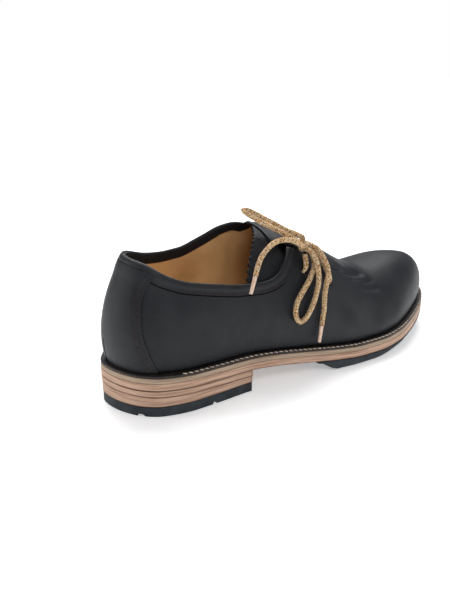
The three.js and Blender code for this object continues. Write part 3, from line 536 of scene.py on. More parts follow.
def leather_sheet(points, faces, outer, inner, bulge):
    """A sheet of leather with rounded free edges. outer and inner are the distances of its faces along
    the normals and bulge how round its edges are, for each point. Returns points, faces, the side of each
    new point (1 outer, 0 inner) and the point that it came from."""
    normals = corner_normals(points, faces)
    count = len(points)
    high = points + normals * outer[:, None]
    low = points + normals * inner[:, None]
    new_points = [high, low]
    sides = [np.ones(count), np.zeros(count)]
    origin = [np.arange(count), np.arange(count)]
    new_faces = [list(f) for f in faces] + [[i + count for i in reversed(f)] for f in faces]
    rim = free_edges(faces)
    away = np.zeros_like(points)
    for p, q in rim:
        way = np.cross(points[q] - points[p], normals[p] + normals[q])
        way = way / max(np.linalg.norm(way), 1e-12)
        away[p] += way
        away[q] += way
    rim_points = sorted({p for edge in rim for p in edge})
    place = {p: k for k, p in enumerate(rim_points)}
    away = away / np.maximum(np.linalg.norm(away, axis=1, keepdims=True), 1e-12)
    chosen = np.array(rim_points)
    middle = (high[chosen] + low[chosen]) / 2
    half = (high[chosen] - low[chosen]) / 2
    reach = np.linalg.norm(half, axis=1) * bulge[chosen]
    start = 2 * count
    for k in range(1, RIM_STEPS):
        angle = math.pi * k / RIM_STEPS
        out = away[chosen] * (reach * math.sin(angle))[:, None]
        new_points.append(middle + half * math.cos(angle) + out)
        sides.append(np.full(len(chosen), 0.5 + 0.5 * math.cos(angle)))
        origin.append(chosen)
    size = len(rim_points)
    for p, q in rim:
        ladder_p = [p] + [start + k * size + place[p] for k in range(RIM_STEPS - 1)] + [p + count]
        ladder_q = [q] + [start + k * size + place[q] for k in range(RIM_STEPS - 1)] + [q + count]
        for k in range(RIM_STEPS):
            new_faces.append([ladder_p[k], ladder_p[k + 1], ladder_q[k + 1], ladder_q[k]])
    return np.concatenate(new_points), new_faces, np.concatenate(sides), np.concatenate(origin)


upper_points, upper_faces = joined_grids([
    (walls[LATERAL], False),
    (walls[MEDIAL], True),
    (tops, False),
])


# Eyelets: x from the heel's back and lean. They are plain punched holes, without metal rings.
REAR_EYELETS = CORNER + 0.0046
FRONT_EYELETS = CORNER + 0.026
EYELETS = {
    "lateral_rear": (REAR_EYELETS, -0.635),
    "lateral_front": (FRONT_EYELETS, -0.615),
    "medial_front": (FRONT_EYELETS, -0.2),
    "medial_rear": (REAR_EYELETS, -0.2),
}
EYELET_RADIUS = 0.0026


def with_holes(points, faces):
    """Takes the faces out of each eyelet and draws the points of its edge into a circle."""
    points = points.copy()
    for x, lean in EYELETS.values():
        centre = form_point(x, np.array(lean))
        normal = form_normal(x, np.array(lean))
        from_centre = points - centre
        flat = from_centre - (from_centre @ normal)[:, None] * normal
        radius = np.linalg.norm(flat, axis=1)
        near = np.linalg.norm(from_centre, axis=1) < 3 * EYELET_RADIUS
        inside = near & (radius < 0.8 * EYELET_RADIUS)
        faces = [face for face in faces if not any(inside[i] for i in face)]
        rim = {i for edge in free_edges(faces) for i in edge if near[i]}
        for i in rim:
            points[i] += flat[i] * (EYELET_RADIUS / radius[i] - 1)
    return points, faces


upper_points, upper_faces = with_holes(upper_points, upper_faces)


def distance_to(points, line, chunk=4000):
    """Distance of each point from the nearest of the points of a line."""
    found = []
    for start in range(0, len(points), chunk):
        part = points[start:start + chunk, None, :] - line[None, :, :]
        found.append(np.sqrt((part**2).sum(axis=2).min(axis=1)))
    return np.concatenate(found)


def thickened(line, steps=4):
    """Puts some points between the neighbours of a line."""
    share = np.linspace(0, 1, steps, endpoint=False)[None, :, None]
    between = line[:-1, None, :] * (1 - share) + line[1:, None, :] * share
    return np.concatenate([between.reshape(-1, 3), line[-1:]])


behind_corner = upper_stations < corner_station[LATERAL] + 1e-9
behind_throat = upper_stations < throat_station + 1e-9
beyond_throat = upper_stations[upper_stations >= throat_station - 1e-9]
slit_columns = np.array([slit_half(s) > 0 for s in beyond_throat])
collar_line = np.concatenate([
    thickened(walls[LATERAL][behind_corner][:, -1]),
    thickened(walls[MEDIAL][behind_throat][:, -1]),
    thickened(tops[0]),
])
slit_line = np.concatenate([
    thickened(tops[slit_columns][:, 0]),
    thickened(walls[LATERAL][~behind_corner][:slit_columns.sum() - LIP_STEPS, -1]),
])
rim_line = np.concatenate([collar_line, slit_line])
rim_far = distance_to(upper_points, rim_line)

# Creases of the vamp: from and to, as x from the heel's back and lean, then depth (a ridge where it
# is below 0) and half width
CREASES = [
    ((0.186, -0.37), (0.207, -0.30), 0.0015, 0.0030),
    ((0.190, -0.42), (0.214, -0.36), 0.0012, 0.0028),
    ((0.194, -0.46), (0.215, -0.45), 0.0010, 0.0030),
    ((0.185, -0.30), (0.205, -0.22), -0.0006, 0.0040),
    ((0.192, -0.395), (0.212, -0.33), -0.0011, 0.0026),
    ((0.196, -0.20), (0.214, 0.05), 0.0004, 0.0060),
    ((0.206, -0.10), (0.220, 0.18), 0.0003, 0.0070),
]


def bell(far, middle, width):
    return np.exp(-(((far - middle) / width) ** 2))


crease_depth = np.zeros(len(upper_points))
for start, end, depth, half_width in CREASES:
    share = np.linspace(0, 1, 40)
    line = form_point(start[0] + (end[0] - start[0]) * share, start[1] + (end[1] - start[1]) * share)
    far = distance_to(upper_points, line)
    crease_depth += depth * bell(far, 0, half_width)
FLARE = 0.0024


def back_flare(points, far):
    """The rolled topline stands out a little at the heel's back."""
    forward = np.maximum(points[:, 0] - HEEL_BACK - 0.021, 0)
    return FLARE * bell(far, 0, 0.0075) * bell(forward, 0, 0.016)


collar_far = distance_to(upper_points, collar_line)
throat_far = distance_to(upper_points, thickened(tops[0]))
THROAT_PARED = 0.45  # share of the wall that is pared away at the throat's edge, which has no bead
PARED_WIDTH = 0.006
from_corner = 1 - bell(np.linalg.norm(upper_points - tops[0][-1], axis=1), 0, 0.008)
pared = THROAT_PARED * from_corner * bell(throat_far, 0, PARED_WIDTH)
beaded = 1 - from_corner * bell(throat_far, 0, 1.5 * PARED_WIDTH)
# Along the topline the bead, the hollow under it and the stitches' groove: height, distance, width
TOPLINE_FORMS = ((0.0005, 0.0012, 0.0017), (-0.0004, 0.0036, 0.0009), (-0.00025, STITCH_INSET, 0.0006))
FACING_THICKNESS = 0.0004
outer_offset = back_flare(upper_points, collar_far) - crease_depth
for height, middle, width in TOPLINE_FORMS:
    outer_offset += height * bell(collar_far, middle, width) * beaded
facing = FACING_THICKNESS * (collar_far < FACING_WIDTH) * beaded
inner_offset = -WALL * (1 - pared) + outer_offset * 0.6 - facing
bulge = np.where(rim_far < 0.0005, RIM_ROUND / (WALL / 2), 0.0)
shell_points, shell_faces, shell_sides, shell_origin = leather_sheet(
    upper_points, upper_faces, outer_offset, inner_offset, bulge
)


def add_bump(tree, shader, height, depth):
    bump = put(tree, "Bump", {"Height": height, "Distance": depth, "Strength": 1.0})
    tree.links.new(bump.outputs["Normal"], shader.inputs["Normal"])


def grain_bump(tree, shader, scale, depth):
    """Fine leather grain: small cells broken up by noise, as a bump."""
    place = put(tree, "TexCoord").outputs["Object"]
    cells = put(tree, "TexVoronoi", {"Vector": place, "Scale": scale}, feature="SMOOTH_F1")
    noise = put(tree, "TexNoise", {"Vector": place, "Scale": scale * 0.35, "Detail": 5})
    mix = put(tree, "Math", {0: cells.outputs["Distance"], 1: noise.outputs["Fac"]}, operation="ADD")
    add_bump(tree, shader, mix.outputs[0], depth)
    return place


def blend_colours(tree, factor, first, second):
    mix = put(tree, "Mix", {"Factor": factor}, data_type="RGBA")
    for key, colour in (("A", first), ("B", second)):
        if isinstance(colour, bpy.types.NodeSocket):
            tree.links.new(colour, mix.inputs[key])
        else:
            mix.inputs[key].default_value = (*colour, 1)
    return mix.outputs["Result"]


def ramp_between(tree, value, low, high):
    """0 below one value, 1 above another, and a smooth step between them."""
    made = put(tree, "MapRange", {"Value": value, "From Min": low, "From Max": high})
    made.interpolation_type = "SMOOTHSTEP"
    return made.outputs["Result"]


def clouded(tree, shader, place, noise, spread, first, second):
    """A base colour that wanders between two tones, by a noise of some scale and detail."""
    scale, detail = noise
    cloud = put(tree, "TexNoise", {"Vector": place, "Scale": scale, "Detail": detail}).outputs["Fac"]
    colour = blend_colours(tree, ramp_between(tree, cloud, *spread), first, second)
    tree.links.new(colour, shader.inputs["Base Color"])
    return cloud


BLACK = (0.0085, 0.0094, 0.0118)
BLACK_WORN = (0.0150, 0.0158, 0.0185)
TAN = (0.80, 0.52, 0.25)
TAN_DARK = (0.58, 0.35, 0.155)


def black_leather(name, gloss=0.25):
    made, tree, shader = new_finish(name, Roughness=0.5, Specular_IOR_Level=gloss)
    place = grain_bump(tree, shader, 1500, 0.00006)
    clouded(tree, shader, place, (38, 4), (0.35, 0.75), BLACK, BLACK_WORN)
    sheen = put(tree, "TexNoise", {"Vector": place, "Scale": 90, "Detail": 3})
    rough = put(tree, "MapRange", {"Value": sheen.outputs["Fac"], "To Min": 0.42, "To Max": 0.58})
    tree.links.new(rough.outputs["Result"], shader.inputs["Roughness"])
    return made


def with_band(made):
    """Adds the turned band's lower edge: a fine step in the bump, with painted shade along it as a thin near-black
    line without shine. Both end in front of the throat.
    """
    tree = made.node_tree
    shader = tree.nodes["Principled BSDF"]
    far = put(tree, "Attribute", attribute_name="from_topline").outputs["Fac"]
    place = put(tree, "SeparateXYZ", {"Vector": put(tree, "TexCoord").outputs["Object"]}).outputs["X"]
    faded = ramp_between(tree, place, HEEL_BACK + THROAT - 0.008, HEEL_BACK + THROAT + 0.004)
    step = ramp_between(tree, far, BAND_WIDTH - 0.0003, BAND_WIDTH + 0.0002)
    step = put(tree, "Math", {0: step, 1: faded}, operation="MAXIMUM").outputs[0]
    drop = put(tree, "Math", {0: 1.0, 1: step}, operation="SUBTRACT").outputs[0]
    edge = put(tree, "Bump", {"Height": drop, "Distance": 0.0005, "Strength": 1.0})
    grain = shader.inputs["Normal"].links[0].from_node
    tree.links.new(edge.outputs["Normal"], grain.inputs["Normal"])
    # Painted shade: a thin near-black line along the step, where its shadow falls, with the shine taken off it
    off = put(tree, "Math", {0: far, 1: BAND_WIDTH + 0.0001}, operation="SUBTRACT").outputs[0]
    off = put(tree, "Math", {0: off}, operation="ABSOLUTE").outputs[0]
    clear = ramp_between(tree, off, 0.0001, 0.0006)
    away = put(tree, "Math", {0: clear, 1: faded}, operation="MAXIMUM").outputs[0]
    plain = shader.inputs["Base Color"].links[0].from_socket
    tree.links.new(blend_colours(tree, away, (0.002, 0.0018, 0.002), plain), shader.inputs["Base Color"])
    shine = put(tree, "Math", {0: away, 1: 0.25}, operation="MULTIPLY").outputs[0]
    tree.links.new(shine, shader.inputs["Specular IOR Level"])
    return made


def tan_leather(name, roughness):
    made, tree, shader = new_finish(name, Roughness=roughness, Specular_IOR_Level=0.3)
    place = grain_bump(tree, shader, 1100, 0.00005)
    clouded(tree, shader, place, (30, 4), (0.35, 0.7), TAN, TAN_DARK)
    return made


def with_facing(made):
    """Adds the black facing inside the topline, told apart by the mesh's own distance from it."""
    tree = made.node_tree
    shader = tree.nodes["Principled BSDF"]
    tan = shader.inputs["Base Color"].links[0].from_socket
    far = put(tree, "Attribute", attribute_name="from_topline").outputs["Fac"]
    inside = ramp_between(tree, far, FACING_WIDTH - 0.0003, FACING_WIDTH + 0.0003)
    colour = blend_colours(tree, inside, BLACK, tan)
    tree.links.new(colour, shader.inputs["Base Color"])
    return made


def add_attribute(made, name, values):
    """Stores a value for each point of a mesh, for its finish to read."""
    attribute = made.data.attributes.new(name, "FLOAT", "POINT")
    attribute.data.foreach_set("value", np.asarray(values).reshape(-1).astype(np.float32))


upper_black = with_band(black_leather("upper_black"))
lining_tan = with_facing(tan_leather("lining_tan", 0.6))
upper = mesh_object("upper_leather", shell_points, shell_faces, upper_black)
upper.data.materials.append(lining_tan)
face_is_inner = [all(shell_sides[i] < 0.3 for i in face) for face in shell_faces]
upper.data.polygons.foreach_set("material_index", [int(inner) for inner in face_is_inner])
add_attribute(upper, "from_topline", rim_far[shell_origin])
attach(upper, "root")
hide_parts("upper")

# The stitch rows. The topline and the counter are sewn with brown waxed thread, in short stitches that
# lie half sunk in the leather. The welt's stitches are made in the same way.
STITCH_PITCH = 0.0024
STITCH_LENGTH = 0.0017
STITCH_THREAD = 0.0006
STITCH_SIDES = 6
STITCH_RINGS = ((-1, 0.3, -0.35), (-0.7, 0.85, -0.1), (0, 1, 0), (0.7, 0.85, -0.1), (1, 0.3, -0.35))


def thread_finish(name, colour, dark):
    made, tree, shader = new_finish(name, Roughness=0.75, Specular_IOR_Level=0.25)
    place = put(tree, "TexCoord").outputs["Object"]
    clouded(tree, shader, place, (700, 2), (0.35, 0.7), colour, dark)
    return made


def stitch_row(line, normals, pitch, length, thread, lift, slant=0.0):
    """Points and faces of a row of stitches along a line on the leather."""
    sizes = run_along(line)
    centres = np.arange(pitch / 2, sizes[-1], pitch)

    def along(values, at):
        return np.stack([np.interp(at, sizes, values[:, k]) for k in range(3)], axis=1)

    middle = along(line, centres)
    way = along(line, centres + 0.0004) - along(line, centres - 0.0004)
    way /= np.linalg.norm(way, axis=1, keepdims=True)
    up = along(normals, centres)
    across = np.cross(up, way)
    across /= np.linalg.norm(across, axis=1, keepdims=True)
    up = np.cross(way, across)
    turned = way * math.cos(slant) + across * math.sin(slant)
    across = across * math.cos(slant) - way * math.sin(slant)
    rings = []
    for share, wide, sink in STITCH_RINGS:
        for k in range(STITCH_SIDES):
            angle = 2 * math.pi * k / STITCH_SIDES
            rings.append(
                middle + turned * (share * length / 2)
                + across * (wide * thread / 2 * math.cos(angle))
                + up * (wide * thread / 2 * math.sin(angle) + sink * thread + lift)
            )
    points = np.stack(rings, axis=1)
    count = points.shape[1]
    faces = [list(range(STITCH_SIDES))[::-1], list(range(count - STITCH_SIDES, count))]
    for ring in range(len(STITCH_RINGS) - 1):
        for k in range(STITCH_SIDES):
            a = ring * STITCH_SIDES + k
            b = ring * STITCH_SIDES + (k + 1) % STITCH_SIDES
            faces.append([a, b, b + STITCH_SIDES, a + STITCH_SIDES])
    return points.reshape(-1, 3), [[i + n * count for i in f] for n in range(len(centres)) for f in faces]


def stitch_object(name, rows, finish):
    """One piece from several stitch rows."""
    points = []
    faces = []
    count = 0
    for row_points, row_faces in rows:
        points.append(row_points)
        faces += [[i + count for i in face] for face in row_faces]
        count += len(row_points)
    made = mesh_object(name, np.concatenate(points), faces, finish)
    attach(made, "root")
    return made


def grid_normals(grid, flip):
    normals = np.cross(np.gradient(grid, axis=0), np.gradient(grid, axis=1))
    normals /= np.maximum(np.linalg.norm(normals, axis=2, keepdims=True), 1e-12)
    return -normals if flip else normals


def level_line(grid, normals, values, level):
    """The line on a grid where some values, one for each point, pass a level."""
    line = []
    directions = []
    for points, ups, far in zip(grid, normals, values):
        above = np.nonzero(far > level)[0]
        if len(above) == 0 or above[-1] == len(far) - 1:
            continue
        k = above[-1]
        share = (far[k] - level) / (far[k] - far[k + 1])
        line.append(points[k] * (1 - share) + points[k + 1] * share)
        directions.append(ups[k] * (1 - share) + ups[k + 1] * share)
    return np.array(line), np.array(directions)


brown_thread = thread_finish("brown_thread", (0.06, 0.026, 0.02), (0.006, 0.004, 0.004))
topline_rows = []
for side, part in ((LATERAL, upper_stations < corner_station[LATERAL] - 0.004), (MEDIAL, behind_throat)):
    grid = walls[side][part]
    far = distance_to(grid.reshape(-1, 3), collar_line).reshape(grid.shape[:2])
    normals = grid_normals(grid, side == MEDIAL)
    line, ups = level_line(grid, normals, far, STITCH_INSET)
    topline_rows.append(stitch_row(line, ups, STITCH_PITCH, STITCH_LENGTH, STITCH_THREAD, lift=-0.0001))
topline_stitches = stitch_object("topline_stitches", topline_rows, brown_thread)

# The heel counter. A second layer of the same black leather laps over the upper round the heel, with
# its front edge pared thin and held by two stitch rows.
COUNTER_DROP = 0.0036
COUNTER_CLEAR = 0.0001
COUNTER_EDGE_THICKNESS = 0.0007
COUNTER_THICKNESS = 0.0014
COUNTER_ROWS = (0.0022, 0.0048)
# Front edge: share of the counter's height, then place on the welt line as a share of the length
COUNTER_EDGE = np.array([(0, 0.068), (0.23, 0.051), (0.48, 0.039), (0.72, 0.036), (0.9, 0.044), (1, 0.058)])
counter_base = through(COUNTER_EDGE[:, 0], COUNTER_EDGE[:, 1])
rises = np.linspace(0, 1, 64)
counter_half = {}
counter_shares = np.concatenate([np.linspace(0, 0.06, 13)[:-1], np.linspace(0.06, 1, 44)])
for side in (LATERAL, MEDIAL):
    columns = []
    for share in counter_shares:
        station = station_of(counter_base(rises)) * share
        full = BACK_HEIGHT * collar_height[side](station) - COUNTER_DROP
        columns.append(section_point(station, side, angle_at_height(station, side, full * rises)))
    counter_half[side] = np.array(columns)
counter_points, counter_faces = joined_grids([(counter_half[LATERAL], False), (counter_half[MEDIAL], True)])
counter_front = np.concatenate([thickened(counter_half[side][-1]) for side in (LATERAL, MEDIAL)])
counter_top = np.concatenate([thickened(counter_half[side][:, -1]) for side in (LATERAL, MEDIAL)])
front_far = distance_to(counter_points, counter_front)
top_far = distance_to(counter_points, counter_top)


def counter_height(front, top):
    """How far the counter stands out, by the distances from its front and top edges."""
    body = (COUNTER_THICKNESS - COUNTER_EDGE_THICKNESS) * (1 - bell(front, 0, 0.004))
    height = COUNTER_CLEAR + (COUNTER_EDGE_THICKNESS + body) * (1 - 0.6 * bell(top, 0, 0.003))
    for inset in COUNTER_ROWS:
        height = height - 0.0002 * bell(front, inset, 0.0006)
    return height


# The short seam at the centre back, which opens a little towards the welt
DART_HEIGHT = 0.017
DART_DEPTH = 0.0011
counter_rise = counter_points[:, 2] - upper_under(counter_points[:, 0] - HEEL_BACK)
dart_open = np.clip(1 - counter_rise / DART_HEIGHT, 0, 1)
dart_width = 0.0003 + 0.0006 * dart_open
dart = DART_DEPTH * bell(counter_points[:, 1], 0, dart_width) * np.minimum(4 * dart_open, 1)
counter_flare = back_flare(counter_points, distance_to(counter_points, collar_line))
counter_outer = counter_height(front_far, top_far) + counter_flare - dart
counter_inner = np.minimum(COUNTER_CLEAR + counter_flare, counter_outer - 0.0001)
counter_bulge = np.full(len(counter_points), 0.6)
counter_sheet = leather_sheet(counter_points, counter_faces, counter_outer, counter_inner, counter_bulge)
counter = mesh_object("heel_counter_leather", *counter_sheet[:2], black_leather("counter_black"))
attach(counter, "root")
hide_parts("heel_counter")

counter_rows = []
for side in (LATERAL, MEDIAL):
    grid = counter_half[side].swapaxes(0, 1)
    far = distance_to(grid.reshape(-1, 3), counter_front).reshape(grid.shape[:2])
    normals = grid_normals(counter_half[side], side == MEDIAL).swapaxes(0, 1)
    for inset in COUNTER_ROWS:
        line, ups = level_line(grid, normals, far, inset)
        sewn = slice(1, len(line) - 3)
        height = float(counter_height(inset, 0.02)) + 0.00005
        row = stitch_row(line[sewn], ups[sewn], STITCH_PITCH, STITCH_LENGTH, STITCH_THREAD, height)
        counter_rows.append(row)
counter_stitches = stitch_object("counter_stitches", counter_rows, brown_thread)

# The tongue. One piece of black leather, suede underneath, lies under the throat and the slit, and its
# edge in the mouth is cut with pinking shears.
TONGUE_CLEARANCE = 0.0007
TONGUE_THICKNESS = 0.0018
TONGUE_LAP = 0.017
TONGUE_FRONT = SLIT_END + TONGUE_LAP
TONGUE_ROWS = 60
TOOTH_DEPTH = 0.0016
TEETH = 20
TOOTH_COLUMNS = 10
LACE_DIAMETER = 0.004
LACE_CLEARANCE = 0.0006
LACE_ROOM = LACE_DIAMETER + 2 * LACE_CLEARANCE
LACING_MIDDLE = (REAR_EYELETS + FRONT_EYELETS) / 2
LACING_SPREAD = 0.019
# Rear edge: lean, then share of the length
TONGUE_EDGE = np.array([
    (-0.66, 0.305), (-0.5, 0.328), (-0.36, 0.353), (-0.19, 0.38),
    (-0.08, 0.398), (0, 0.412), (0.28, 0.43),
])
tongue_rear = through(TONGUE_EDGE[:, 0], TONGUE_EDGE[:, 1])
tongue_columns = []
for share in np.linspace(0, 1, TEETH * TOOTH_COLUMNS + 1):
    lean = TONGUE_EDGE[0, 0] + (TONGUE_EDGE[-1, 0] - TONGUE_EDGE[0, 0]) * share
    tooth = 1 - abs(2 * ((share * TEETH) % 1) - 1)
    rear = SOLE_LENGTH * float(tongue_rear(lean)) + TOOTH_DEPTH * tooth
    front = TONGUE_FRONT - (TONGUE_FRONT - CORNER) * 0.4 * abs(2 * share - 1) ** 3
    places = np.linspace(rear, front, TONGUE_ROWS)
    # In the mouth the tongue stands up against the pared edge of the throat
    free = np.clip((lean + 0.43) / 0.13, 0, 1)
    raised = free * (THROAT_PARED * WALL + 0.0004) * bell(np.maximum(places - THROAT, 0), 0, PARED_WIDTH)
    leans = np.full(TONGUE_ROWS, lean)
    tongue_columns.append(form_point(places, leans) + form_normal(places, leans) * raised[:, None])
tongue_points, tongue_faces = joined_grids([(np.array(tongue_columns), True)])
pushed = -LACE_ROOM * np.exp(-(((tongue_points[:, 0] - HEEL_BACK - LACING_MIDDLE) / LACING_SPREAD) ** 6))
tongue_outer = -WALL - TONGUE_CLEARANCE + pushed
tongue_inner = tongue_outer - TONGUE_THICKNESS
tongue_bulge = np.full(len(tongue_points), 0.35)
tongue_shell = leather_sheet(tongue_points, tongue_faces, tongue_outer, tongue_inner, tongue_bulge)


def suede(name, colour, dark):
    made, tree, shader = new_finish(name, Roughness=0.95, Specular_IOR_Level=0.1)
    place = put(tree, "TexCoord").outputs["Object"]
    nap = clouded(tree, shader, place, (900, 6), (0.3, 0.7), colour, dark)
    add_bump(tree, shader, nap, 0.0002)
    return made


tongue = mesh_object("tongue_leather", *tongue_shell[:2], black_leather("tongue_black", gloss=0.16))
tongue.data.materials.append(suede("tongue_suede", (0.05, 0.028, 0.024), (0.028, 0.016, 0.015)))
tongue_under = [all(tongue_shell[2][i] < 0.6 for i in face) for face in tongue_shell[1]]
tongue.data.polygons.foreach_set("material_index", [int(under) for under in tongue_under])
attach(tongue, "root")
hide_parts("tongue")

# The welt. A strip of dark leather runs all round under the upper, with a wheeled edge. Pale waxed
# thread sews it to the sole, in stitches that begin 35 mm in front of the heel's back.
WELT_WIDTH = 0.013
WELT_PITCH = 0.004
WELT_COLUMNS = 1500
WELT_THREAD = 0.001
WELT_SLANT = math.radians(-13)
SEWN_FROM = 0.035  # from the heel's back
NOTCH_DEPTH = 0.0002
welt_fine = np.linspace(0, 1, 1200)


def ring_edge(inset):
    """The edge of the sole all round, from the heel's back along the outer side to the toe and back."""
    lateral = np.stack(edge_point(welt_fine, LATERAL, inset), axis=1)
    medial = np.stack(edge_point(welt_fine, MEDIAL, inset), axis=1)
    return np.concatenate([lateral, medial[::-1][1:]])


base_edge = ring_edge(0.0)
base_run = run_along(base_edge)
welt_run = np.linspace(0, base_run[-1], WELT_COLUMNS, endpoint=False)
welt_pitch = base_run[-1] / round(base_run[-1] / WELT_PITCH)


def ring_point(inset, height):
    """Points of the welt all round at some inset from its edge, above its underside."""
    edge = ring_edge(inset)
    x = np.interp(welt_run, base_run, edge[:, 0])
    y = np.interp(welt_run, base_run, edge[:, 1])
    return np.stack([HEEL_BACK + x, y, welt_under(x) + height], axis=1)


notch = np.maximum(np.cos(2 * math.pi * welt_run / welt_pitch), 0) ** 3
# Profile: inset from the edge, height, and share of the notches' depth
WELT_PROFILE = (
    (0.0006, 0.0, 0), (0.0001, 0.0003, 0), (0.0, 0.0008, 0.3), (0.0001, 0.0012, 1), (0.0005, 0.0016, 1),
    (0.0009, 0.00162, 0.7), (0.0014, 0.0015, 0.3), (0.0021, 0.0016, 0), (0.0035, 0.0016, 0),
    (0.006, 0.0016, 0), (WELT_WIDTH, 0.0016, 0), (WELT_WIDTH, 0.0, 0),
)
welt_grid = np.stack([
    ring_point(inset, height - NOTCH_DEPTH * deep * notch) for inset, height, deep in WELT_PROFILE
], axis=1)
welt_numbers = grid_numbers(welt_grid)
welt_closed = np.concatenate([welt_numbers, welt_numbers[:1]], axis=0)
welt_closed = np.concatenate([welt_closed, welt_closed[:, :1]], axis=1)


def welt_leather(name):
    made, tree, shader = new_finish(name, Roughness=0.5, Specular_IOR_Level=0.4)
    place = grain_bump(tree, shader, 900, 0.00008)
    tones = (0.012, 0.0095, 0.009), (0.03, 0.021, 0.017)
    clouded(tree, shader, place, (150, 4), (0.35, 0.75), *tones)
    return made


welt_faces = grid_faces(welt_closed)
welt = mesh_object("welt_strip", welt_grid.reshape(-1, 3), welt_faces, welt_leather("welt_dark"))
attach(welt, "root")
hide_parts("welt")
pale_thread = thread_finish("pale_thread", (0.52, 0.43, 0.35), (0.26, 0.2, 0.16))
welt_line = ring_point(0.0007, WELT_THICKNESS)
outward = ring_point(0.0, 0.0) - ring_point(0.001, 0.0)
welt_ups = np.array([0, 0, 1]) + 0.35 * outward / np.linalg.norm(outward, axis=1, keepdims=True)
welt_ups /= np.linalg.norm(welt_ups, axis=1, keepdims=True)
sewn = welt_line[:, 0] > HEEL_BACK + SEWN_FROM
welt_row = stitch_row(
    welt_line[sewn], welt_ups[sewn], welt_pitch, 0.86 * welt_pitch, WELT_THREAD,
    lift=0.0001, slant=WELT_SLANT,
)
welt_stitches = stitch_object("welt_stitches", [welt_row], pale_thread)

# The bottom. Under the welt come a grey-tan midsole, the outsole and the heel's two lifts, all of leather
# that is glued, cut flush and left in its own colour. The insole lies in the shoe with a tan sock on it.
LIFT_THICKNESS = 0.004
TOP_PIECE_THICKNESS = 0.0066
HEEL_LENGTH = 0.09
HEEL_TAPER = 0.0008
INSOLE_THICKNESS = 0.003
SIDE_ROWS = 5
EDGE_ROUND = 0.0004


def plate_object(name, stations, inset, top, under, finish, bevel=(0, 0), bulge=0.0):
    """A layer of the sole between two heights. Its sides carry two attributes: run, the way round the
    edge, and level, the height in the layer."""
    rounding = EDGE_ROUND

    def profile(side):
        ex, ey = edge_point(stations, side, inset(stations))
        high = top(ex)
        low = under(ex)
        rows = [(rounding, high, high - low), (0.3 * rounding, high - 0.3 * rounding, high - low)]
        foot = low + bevel[1]
        for share in np.linspace(0, 1, SIDE_ROWS):
            level = high - rounding - (high - rounding - foot - rounding) * share
            rows.append((-bulge * math.sin(math.pi * share), level, level - low))
        if bevel[0] > 0:
            rows.append((0.12 * bevel[0], low + 0.5 * bevel[1], 0.5 * bevel[1] + 0 * low))
            rows.append((0.45 * bevel[0], low + 0.13 * bevel[1], 0.1 * bevel[1] + 0 * low))
            rows.append((bevel[0], low, 0 * low))
        else:
            rows.append((0.3 * rounding, low + 0.3 * rounding, 0 * low))
            rows.append((rounding, low, 0 * low))
        lines = []
        for further, z, level in rows:
            x, y = edge_point(stations, side, inset(stations) + further)
            lines.append((np.stack([HEEL_BACK + x, y, z], axis=1), level))
        return lines

    outer = profile(LATERAL)
    inner = profile(MEDIAL)[::-1]
    loop = outer + inner
    grid = np.stack([points for points, _ in loop], axis=1)
    levels = np.stack([level for _, level in loop], axis=1)
    ex, ey = edge_point(stations, LATERAL, 0.0)
    around = np.concatenate(([0], np.cumsum(np.hypot(np.diff(ex), np.diff(ey)))))
    runs = np.repeat(around[:, None], len(loop), axis=1)
    runs[:, len(outer):] *= -1
    numbers = grid_numbers(grid)
    ring = np.concatenate([numbers, numbers[:, :1]], axis=1)
    faces = [list(f) for f in grid_faces(ring, True)]
    faces.append([int(i) for i in numbers[0]])
    faces.append([int(i) for i in numbers[-1][::-1]])
    made = mesh_object(name, grid.reshape(-1, 3), faces, finish)
    add_attribute(made, "run", runs)
    add_attribute(made, "level", levels)
    weighted = made.modifiers.new("even_shading", "WEIGHTED_NORMAL")
    weighted.weight = 90
    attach(made, "root")
    return made


def cut_edge(name, pale, dark, line):
    """Leather cut across: long streaks along the edge, and a darker line at the foot of the layer. line
    is the two heights between which it ends, and its colour."""
    made, tree, shader = new_finish(name, Roughness=0.62, Specular_IOR_Level=0.3)
    run = put(tree, "Attribute", attribute_name="run").outputs["Fac"]
    level = put(tree, "Attribute", attribute_name="level").outputs["Fac"]
    stretched = put(tree, "CombineXYZ", {
        "X": put(tree, "Math", {0: run, 1: 28.0}, operation="MULTIPLY").outputs[0],
        "Y": put(tree, "Math", {0: level, 1: 1400.0}, operation="MULTIPLY").outputs[0],
    })
    streaks = put(tree, "TexNoise", {"Vector": stretched.outputs[0], "Scale": 1.0, "Detail": 4})
    place = put(tree, "TexCoord").outputs["Object"]
    fibres = put(tree, "TexNoise", {"Vector": place, "Scale": 650, "Detail": 3})
    tone = blend_colours(tree, ramp_between(tree, streaks.outputs["Fac"], 0.36, 0.68), pale, dark)
    near_line = ramp_between(tree, level, line[0], line[1])
    colour = blend_colours(tree, near_line, line[2], tone)
    speck = ramp_between(tree, fibres.outputs["Fac"], 0.62, 0.75)
    speck = put(tree, "Math", {0: speck, 1: 0.25}, operation="MULTIPLY").outputs[0]
    tree.links.new(blend_colours(tree, speck, colour, dark), shader.inputs["Base Color"])
    height = put(tree, "Math", {0: streaks.outputs["Fac"], 1: fibres.outputs["Fac"]}, operation="ADD")
    add_bump(tree, shader, height.outputs[0], 0.00012)
    return made


GREY_TAN = (0.41, 0.305, 0.22)
GREY_TAN_DARK = (0.27, 0.19, 0.13)
PINK_TAN = (0.57, 0.38, 0.275)
PINK_TAN_DARK = (0.30, 0.17, 0.11)
SCORCHED = (0.15, 0.08, 0.05)
whole_sole = np.linspace(0, 1, 300)
heel_part = stations_between(0, HEEL_LENGTH, 120)


def flush(stations):
    return 0.0 * stations


